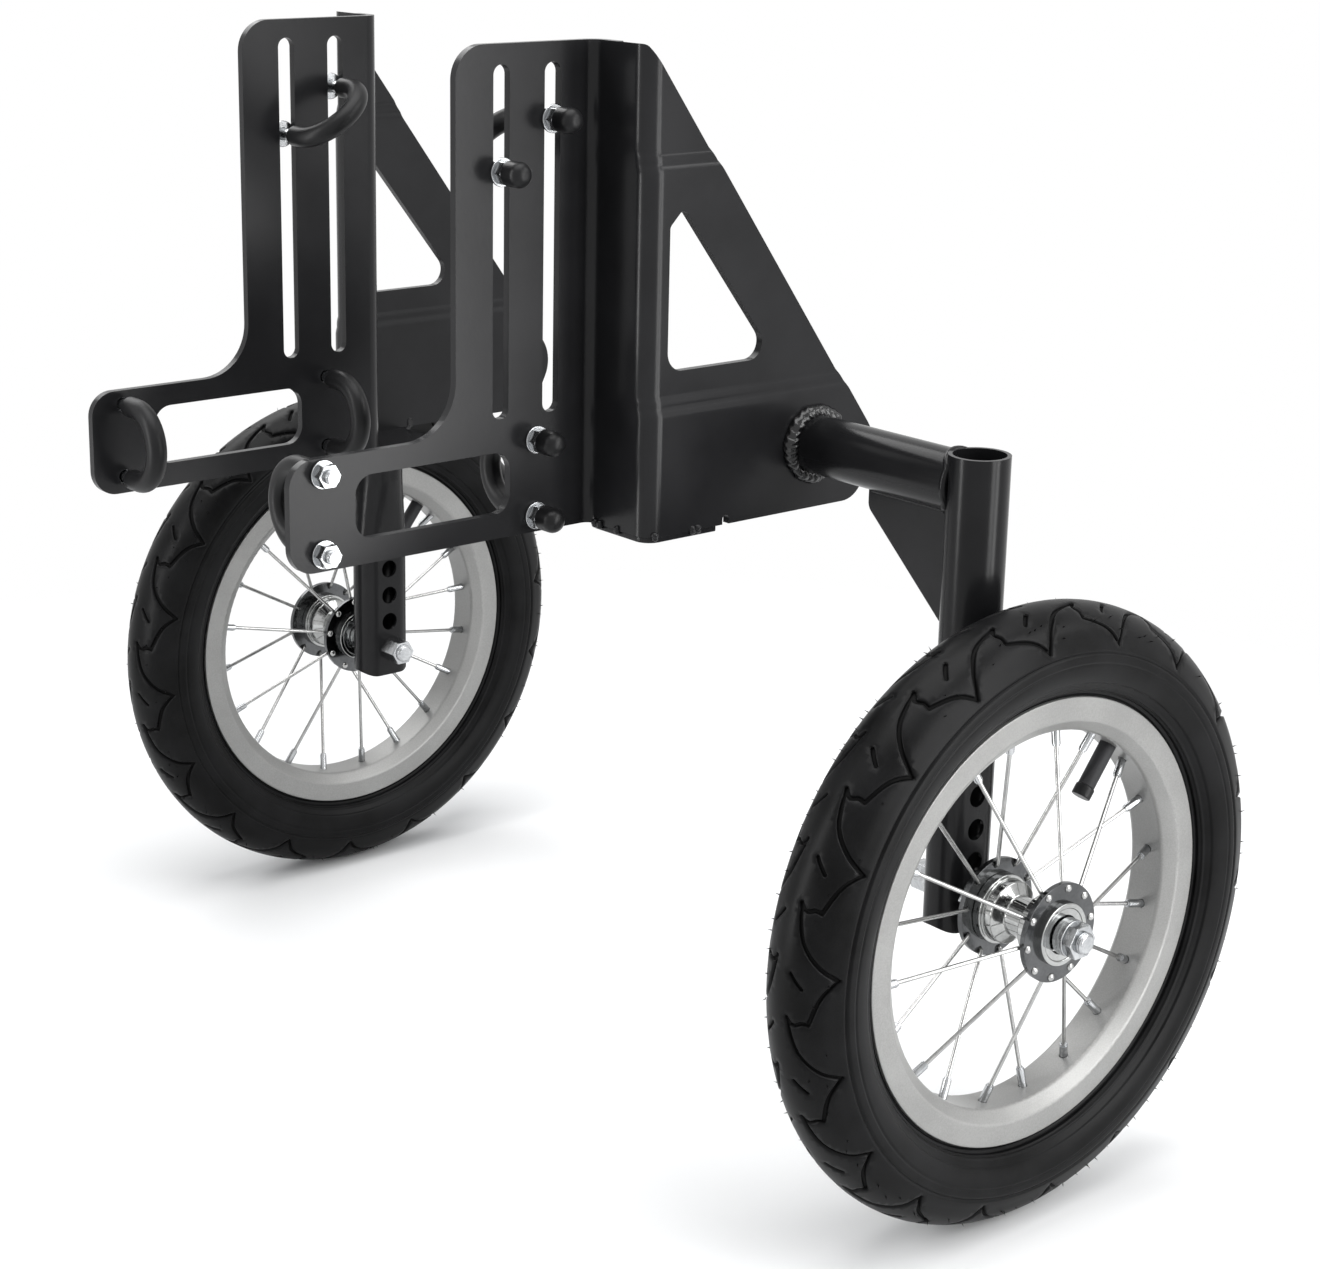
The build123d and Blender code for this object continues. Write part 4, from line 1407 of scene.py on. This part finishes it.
@dataclass
class Tyre:
    """Tyre skin with a moulded tread of repeated curved grooves, in millimetres and degrees."""

    shop: Workshop
    radius: float = 149.0
    trim: float = 0.1
    section_radius: float = 21.0
    section_centre: float = 128.0
    crown_end: float = 66.0
    crown_step: float = 1.5
    side_centre: tuple[float, float] = (0.955, 125.36)
    side_radius: float = 21.05
    side_start: tuple[float, float] = (19.2, 136.6)
    side_end: float = -57.0
    side_step: float = 2.0
    wall_step: float = 0.4
    rings: tuple[tuple[float, float, float], ...] = (
        (31.4, 0.7, -0.8), (36.5, 0.5, -0.4), (51.0, 0.6, 0.5), (54.2, 0.7, -0.9),
    )
    ledge_at: float = 46.5
    ledge_width: float = 0.16
    ledge_drop: float = 0.6
    bead: tuple[tuple[float, float], ...] = ((12.05, 106.5), (12.05, 103.0))
    units: int = 18
    phase: float = 4.7
    stagger: float = 10.0
    edge: float = 29.5
    columns: int = 288
    rows: int = 23
    overlap: int = 4
    margin: float = 14.0
    clearance: float = 0.8
    net_merge: float = 1e-5
    net_slack: float = 1e-2
    skin_merge: float = 4e-6
    crease: float = 46.0
    hair_count: int = 150
    hair_jitter: float = 0.4
    hair_band: tuple[float, float] = (30.0, 62.0)
    hair_lengths: tuple[float, float] = (1.2, 2.6)
    hair_lean: float = 0.35
    hair_radius: float = 0.3
    hair_seed: int = 11
    grooves: tuple[Groove, ...] = (
        Groove(((0, 74), (2.3, 47), (5.8, 25), (9.3, 16), (12.5, 11))),
        Groove(((0, 74), (-1.8, 60), (-4, 50), (-8.3, 38.5))),
        Groove(((-8.3, 38.5), (-8.1, 30), (-8.7, 20), (-7.5, 11)), steps=7),
        Groove(((0.4, 13), (-0.9, 21), (-2, 29)), steps=4, half_width=0.95),
    )

    def build(self) -> None:
        """Shows the tyres with their tread and moulding hairs."""
        section = self._section()
        walls = [self._wall(section, side) for side in Side]
        skin = joined([self._crown(section), *walls], "tyre_skin", self.skin_merge)
        skin.set_sharp_from_angle(angle=math.radians(self.crease))
        self.shop.pair(skin, "tyre_shown", Finish.TYRE, "tyre")
        hairs = self.shop.run(Pattern.HAIRS, self._hair_roots(), Finish.TYRE, Radius=self.hair_radius * MM)
        self.shop.pair(hairs, "tyre_hairs", Finish.TYRE, beside="tyre")

    def _section(self) -> np.ndarray:
        """Measures half of the outer section, from the crown to the bead.

        Returns:
            Rows of length along it, offset from the middle and radius.
        """
        crown = np.radians(np.arange(0, self.crown_end, self.crown_step))
        a, b = self.side_centre
        start = math.degrees(math.atan2(self.side_start[1] - b, self.side_start[0] - a))
        side = np.radians(np.arange(start, self.side_end, -self.side_step))
        offset = np.concatenate([self.section_radius * np.sin(crown), a + self.side_radius * np.cos(side)])
        radius = np.concatenate(
            [self.section_centre + self.section_radius * np.cos(crown), b + self.side_radius * np.sin(side)]
        )
        line = np.column_stack([offset, radius - self.trim])
        length = np.concatenate([[0], np.cumsum(np.linalg.norm(np.diff(line, axis=0), axis=1))])
        return np.column_stack([length, line])

    def _lines(self) -> list[tuple[np.ndarray, Groove]]:
        """Lays out the grooves of both halves of the tread.

        Returns:
            Middle line of each groove in (millimetres round, millimetres across), and the groove.
        """
        scale = math.radians(1) * self.radius
        lines = []
        for sign, shift in ((1, 0.0), (-1, self.stagger)):
            for k in range(-1, self.units + 1):
                for groove in self.grooves:
                    given = np.array(groove.points, float)
                    given[:, 0] = (given[:, 0] + self.phase + shift + 360 / self.units * k) * scale
                    given[:, 1] = sign * np.radians(given[:, 1]) * self.section_radius
                    lines.append((self._spline(given, groove.steps), groove))
        return lines

    @staticmethod
    def _spline(points: np.ndarray, steps: int, fine: int = 12) -> np.ndarray:
        """Runs a smooth line through points.

        Args:
            points: The points.
            steps: Number of even steps along the line.
            fine: Steps between two points before the line is divided evenly.
        Returns:
            The line's points.
        """
        pad = np.vstack([2 * points[0] - points[1], points, 2 * points[-1] - points[-2]])
        dense = []
        for p0, p1, p2, p3 in zip(pad[:-3], pad[1:-2], pad[2:-1], pad[3:]):
            for t in np.linspace(0, 1, fine, endpoint=False):
                square = (2 * p0 - 5 * p1 + 4 * p2 - p3) * t**2
                cube = (3 * p1 - p0 - 3 * p2 + p3) * t**3
                dense.append(0.5 * (2 * p1 + (p2 - p0) * t + square + cube))
        line = np.array([*dense, pad[-2]])
        run = np.concatenate([[0], np.cumsum(np.linalg.norm(np.diff(line, axis=0), axis=1))])
        at = np.linspace(0, run[-1], steps + 1)
        return np.column_stack([np.interp(at, run, line[:, i]) for i in (0, 1)])

    @staticmethod
    def _outline(line: np.ndarray, reach: float, cap_steps: int = 5) -> np.ndarray:
        """Draws a closed outline round a line, with round ends.

        Args:
            line: The line.
            reach: Distance from it.
            cap_steps: Steps round each end.
        Returns:
            The outline's points.
        """
        way = np.gradient(line, axis=0)
        way /= np.linalg.norm(way, axis=1)[:, None]
        normal = np.column_stack([-way[:, 1], way[:, 0]])
        cap = np.linspace(0, math.pi, cap_steps + 1)[1:-1]
        last = math.atan2(normal[-1, 1], normal[-1, 0]) - cap
        first = math.atan2(normal[0, 1], normal[0, 0]) + math.pi - cap
        end_cap = line[-1] + reach * np.column_stack([np.cos(last), np.sin(last)])
        start_cap = line[0] + reach * np.column_stack([np.cos(first), np.sin(first)])
        return np.vstack([line + reach * normal, end_cap, (line - reach * normal)[::-1], start_cap])

    def _net(
        self, lines: list[tuple[np.ndarray, Groove]], around: float
    ) -> tuple[list[np.ndarray], list[tuple[int, int]]]:
        """Lays out the flat net of the tread: groove outlines, borders and a grid between them.

        Args:
            lines: Middle lines of the grooves.
            around: Length of the net.
        Returns:
            Its points and the edges that have to stay.
        """
        points: list[np.ndarray] = []
        edges: list[tuple[int, int]] = []

        def chain(rows: Sequence[np.ndarray], closed: bool) -> None:
            """Adds a row of points and the edges along it.

            Args:
                rows: The points.
                closed: Whether the last one joins the first.
            """
            first, count = len(points), len(rows)
            points.extend(rows)
            edges.extend((first + i, first + (i + 1) % count) for i in range(count if closed else count - 1))

        for line, groove in lines:
            if line[:, 0].max() > -self.margin and line[:, 0].min() < around + self.margin:
                for reach in reversed(groove.reaches()):
                    chain(self._outline(line, reach), True)
        for u in (0.0, around):
            chain([np.array([u, -self.edge]), np.array([u, self.edge])], False)
        columns = [around / self.columns * i for i in range(-self.overlap, self.columns + self.overlap + 1)]
        for v in (-self.edge, self.edge):
            chain([np.array([u, v]) for u in columns], False)
        held = KDTree(len(points))
        for number, point in enumerate(points):
            held.insert((*point, 0), number)
        held.balance()
        for v in np.linspace(-self.edge, self.edge, self.rows)[1:-1]:
            for u in columns:
                if held.find((u, v, 0))[2] > self.clearance:
                    points.append(np.array([u, v]))
        return points, edges

    def _crown(self, section: np.ndarray) -> bpy.types.Mesh:
        """Makes the tread between the shoulders, with its grooves pressed in.

        Args:
            section: Rows of length along the section, offset and radius.
        Returns:
            The mesh, with the depth of its grooves as an attribute, from which the tyre's material paints
            shade in them.
        """
        around = TURN * self.radius
        lines = self._lines()
        points, edges = self._net(lines, around)
        found, _, faces, *_ = delaunay_2d_cdt([Vector(p) for p in points], edges, [], 0, self.net_merge)
        flat = np.array([tuple(v) for v in found])
        u, v = flat[:, 0], flat[:, 1]
        slack = self.net_slack
        inside = [f for f in faces if u[list(f)].min() > -slack and u[list(f)].max() < around + slack]
        sink = self._depth(flat, lines)
        w = np.interp(np.abs(v), section[:, 0], section[:, 1]) * np.sign(v)
        r = np.interp(np.abs(v), section[:, 0], section[:, 2])
        out = np.column_stack([w, r - self.section_centre])
        out /= np.linalg.norm(out, axis=1)[:, None]
        w, r = w - out[:, 0] * sink, r - out[:, 1] * sink
        turns = zip(u / self.radius, r, w)
        vertices = [world(b * math.cos(a), WHEEL_Y + c, b * math.sin(a)) for a, b, c in turns]
        mesh = mesh_from(vertices, inside, "crown")
        depth = (sink / self.grooves[0].depth).astype(np.float32)
        mesh.attributes.new("groove", "FLOAT", "POINT").data.foreach_set("value", depth)
        return mesh

    @staticmethod
    def _depth(flat: np.ndarray, lines: list[tuple[np.ndarray, Groove]]) -> np.ndarray:
        """Works out how far the grooves press each point in.

        Args:
            flat: Points of the net.
            lines: Middle lines of the grooves.
        Returns:
            Depth of each point.
        """
        sink = np.zeros(len(flat))
        for line, groove in lines:
            reach = groove.reaches()[-1]
            near = ((flat >= line.min(0) - reach) & (flat <= line.max(0) + reach)).all(1)
            pick = np.where(near)[0]
            if not len(pick):
                continue
            spots = flat[pick]
            nearest = np.full(len(pick), np.inf)
            for a, b in zip(line[:-1], line[1:]):
                run = b - a
                t = np.clip(((spots - a) @ run) / (run @ run), 0, 1)
                nearest = np.minimum(nearest, np.linalg.norm(spots - (a + t[:, None] * run), axis=1))
            drops = np.interp(nearest, groove.reaches(), [groove.depth, groove.lip_drop, 0.0])
            sink[pick] = np.maximum(sink[pick], drops)
        return sink

    def _wall(self, section: np.ndarray, side: Side) -> bpy.types.Mesh:
        """Makes a sidewall with its moulded rings, from the tread's edge to the bead.

        Args:
            section: Rows of length along the section, offset and radius.
            side: Which wall.
        Returns:
            The mesh.
        """
        end = section[-1, 0]
        profile = []
        for v in [self.edge, *np.arange(self.edge + self.wall_step, end, self.wall_step), end]:
            w = float(np.interp(v, section[:, 0], section[:, 1]))
            r = float(np.interp(v, section[:, 0], section[:, 2]))
            out = Vector((w, r - self.section_centre)).normalized() * (self._lift(v) if v > self.edge else 0)
            profile.append((WHEEL_Y + side.value * (w + out.x), r + out.y))
        profile += [(WHEEL_Y + side.value * w, r) for w, r in self.bead]
        return lathe(profile, self.columns, "wall")

    def _lift(self, v: float) -> float:
        """Height of the sidewall's moulded rings.

        Args:
            v: Length along the section from the crown.
        Returns:
            How far the skin stands out there.
        """
        lift = sum(height * math.exp(-(((v - at) / width) ** 2)) for at, width, height in self.rings)
        return lift - self.ledge_drop / (1 + math.exp(-(v - self.ledge_at) / self.ledge_width))

    def _hair_roots(self) -> bpy.types.Mesh:
        """Scatters the roots of the moulding hairs on the tread's shoulders.

        Returns:
            Points that hold the direction and length of their hairs.
        """
        chance = random.Random(self.hair_seed)
        roots, ways, sizes = [], [], []
        for i in range(self.hair_count):
            a = TURN * (i + chance.uniform(-self.hair_jitter, self.hair_jitter)) / self.hair_count
            t = math.radians(chance.choice((-1, 1)) * chance.uniform(*self.hair_band))
            r = self.section_centre + self.section_radius * math.cos(t)
            sizes.append(chance.uniform(*self.hair_lengths) * MM)
            way = Vector((math.cos(t) * math.cos(a), math.sin(t), math.cos(t) * math.sin(a)))
            lean = Vector([chance.uniform(-self.hair_lean, self.hair_lean) for _ in range(3)])
            ways.extend((way + lean).normalized())
            roots.append(world(r * math.cos(a), WHEEL_Y + self.section_radius * math.sin(t), r * math.sin(a)))
        mesh = bpy.data.meshes.new("hair_roots")
        mesh.from_pydata(roots, [], [])
        mesh.attributes.new("way", "FLOAT_VECTOR", "POINT").data.foreach_set("vector", ways)
        mesh.attributes.new("size", "FLOAT", "POINT").data.foreach_set("value", sizes)
        return mesh


# Stage


@dataclass(frozen=True)
class Lamp:
    """A soft box, in metres."""

    name: str
    at: Point
    target: Point
    size: tuple[float, float]
    watts: float

    def make(self) -> bpy.types.Object:
        """Makes the lamp.

        Returns:
            Its object.
        """
        data = bpy.data.lights.new(self.name, "AREA")
        data.shape = "RECTANGLE"
        data.size, data.size_y = self.size
        data.energy = self.watts
        lamp = bpy.data.objects.new(self.name, data)
        lamp.location = self.at
        lamp.rotation_mode = "QUATERNION"
        lamp.rotation_quaternion = (Vector(self.target) - Vector(self.at)).to_track_quat("-Z", "Y")
        return lamp


@dataclass
class Studio:
    """Floor and light in metres, and a camera in millimetres from the axle and degrees."""

    floor_paint: PaleFloor = PaleFloor(
        "floor", (0.87, 0.87, 0.87), (0.89, 0.89, 0.89), fade_from=0.24, fade_to=0.9
    )
    floor_half: float = 2.0
    room_light: Colour = (0.9, 0.95, 1.0)
    room_strength: float = 0.25
    lamps: tuple[Lamp, ...] = (
        Lamp("overhead", (0.1, 0.2, 2.4), (0, 0.1, 0.35), (2.0, 2.0), watts=48),
        Lamp("left_strip", (-0.17, 1.13, 0.57), (0, 0.15, 0.57), (0.2, 1.1), watts=5),
        Lamp("front_strip", (0.98, -0.21, 0.57), (0.04, 0.13, 0.57), (0.16, 1.1), watts=6.5),
        Lamp("plate_box", (-0.38, 0.95, 0.4), (0.15, 0.09, 0.45), (0.18, 0.8), watts=3.4),
        Lamp("far_box", (-0.1, -1.8, 1.9), (0, 0.1, 0.35), (1.6, 1.2), watts=20),
        Lamp("back_box", (-1.3, 1.45, 1.7), (0, 0.1, 0.35), (1.2, 0.8), watts=14),
    )
    camera_at: Point = (851.2, 1016.3, 474.9)
    azimuth: float = 141.276
    down: float = 16.02
    roll: float = 0.72
    lens: float = 70.909
    sensor: float = 36.0
    shift: tuple[float, float] = (0.06, -0.04)
    clip: tuple[float, float] = (0.05, 50.0)

    def build(self) -> None:
        """Makes the whole stage."""
        scene = bpy.context.scene
        floor, camera = self._floor(), self._camera()
        for item in (floor, camera, *(lamp.make() for lamp in self.lamps)):
            scene.collection.objects.link(item)
        scene.camera = camera
        scene.world = self._room()
        scene.view_settings.view_transform = "Standard"
        LOG.info("stage: floor, %d lamps and camera", len(self.lamps))

    def _floor(self) -> bpy.types.Object:
        """Makes the pale floor under the wheels.

        Returns:
            Its object.
        """
        half = self.floor_half
        corners = [(-half, -half, 0), (half, -half, 0), (half, half, 0), (-half, half, 0)]
        mesh = mesh_from(corners, [(0, 1, 2, 3)], "floor")
        mesh.materials.append(self.floor_paint.make())
        return bpy.data.objects.new("floor", mesh)

    def _room(self) -> bpy.types.World:
        """Makes a white room for what the camera and the metal see, and soft light for the rest.

        Returns:
            The world.
        """
        room = bpy.data.worlds.new("room")
        room.use_nodes = True
        room.node_tree.nodes.clear()
        tree = Tree(room.node_tree)
        rays = tree.add("ShaderNodeLightPath")
        camera, glossy = tree.value(rays, "Is Camera Ray"), tree.value(rays, "Is Glossy Ray")
        seen = camera + glossy + tree.value(rays, "Is Transmission Ray")
        white = tree.add("ShaderNodeBackground", None, {"Color": (1, 1, 1, 1), "Strength": 1.0})
        light = {"Color": (*self.room_light, 1), "Strength": self.room_strength}
        soft = tree.add("ShaderNodeBackground", None, light)
        mix = tree.add("ShaderNodeMixShader", None, {0: seen, 1: soft, 2: white})
        tree.add("ShaderNodeOutputWorld", None, {"Surface": mix})
        return room

    def _camera(self) -> bpy.types.Object:
        """Makes the camera at the photograph's viewing angle.

        Returns:
            Its object.
        """
        data = bpy.data.cameras.new("camera")
        data.sensor_fit = "HORIZONTAL"
        data.sensor_width = self.sensor
        data.lens = self.lens
        data.shift_x, data.shift_y = self.shift
        data.clip_start, data.clip_end = self.clip
        azimuth, down, roll = (math.radians(a) for a in (self.azimuth, self.down, self.roll))
        flat = math.cos(down)
        look = Vector((-math.sin(azimuth) * flat, math.cos(azimuth) * flat, -math.sin(down)))
        across = look.cross(Vector((0, 0, 1))).normalized()
        up = across.cross(look)
        x = across * math.cos(roll) + up * math.sin(roll)
        y = up * math.cos(roll) - across * math.sin(roll)
        camera = bpy.data.objects.new("camera", data)
        camera.location = world(*self.camera_at)
        camera.rotation_mode = "QUATERNION"
        camera.rotation_quaternion = Matrix((x, y, -look)).transposed().to_quaternion()
        return camera


def main() -> None:
    """Builds the sub-assemblies in order, then the stage."""
    logging.basicConfig(level=logging.INFO, format="%(name)s: %(message)s")
    shop = Workshop()
    shop.paint_nodes()
    for assembly in (Bracket, Arm, Clamps, Hub, Rim, Spokes, Tyre):
        LOG.info("building %s", assembly.__name__)
        assembly(shop).build()
    Studio().build()


if __name__ == "__main__":
    main()
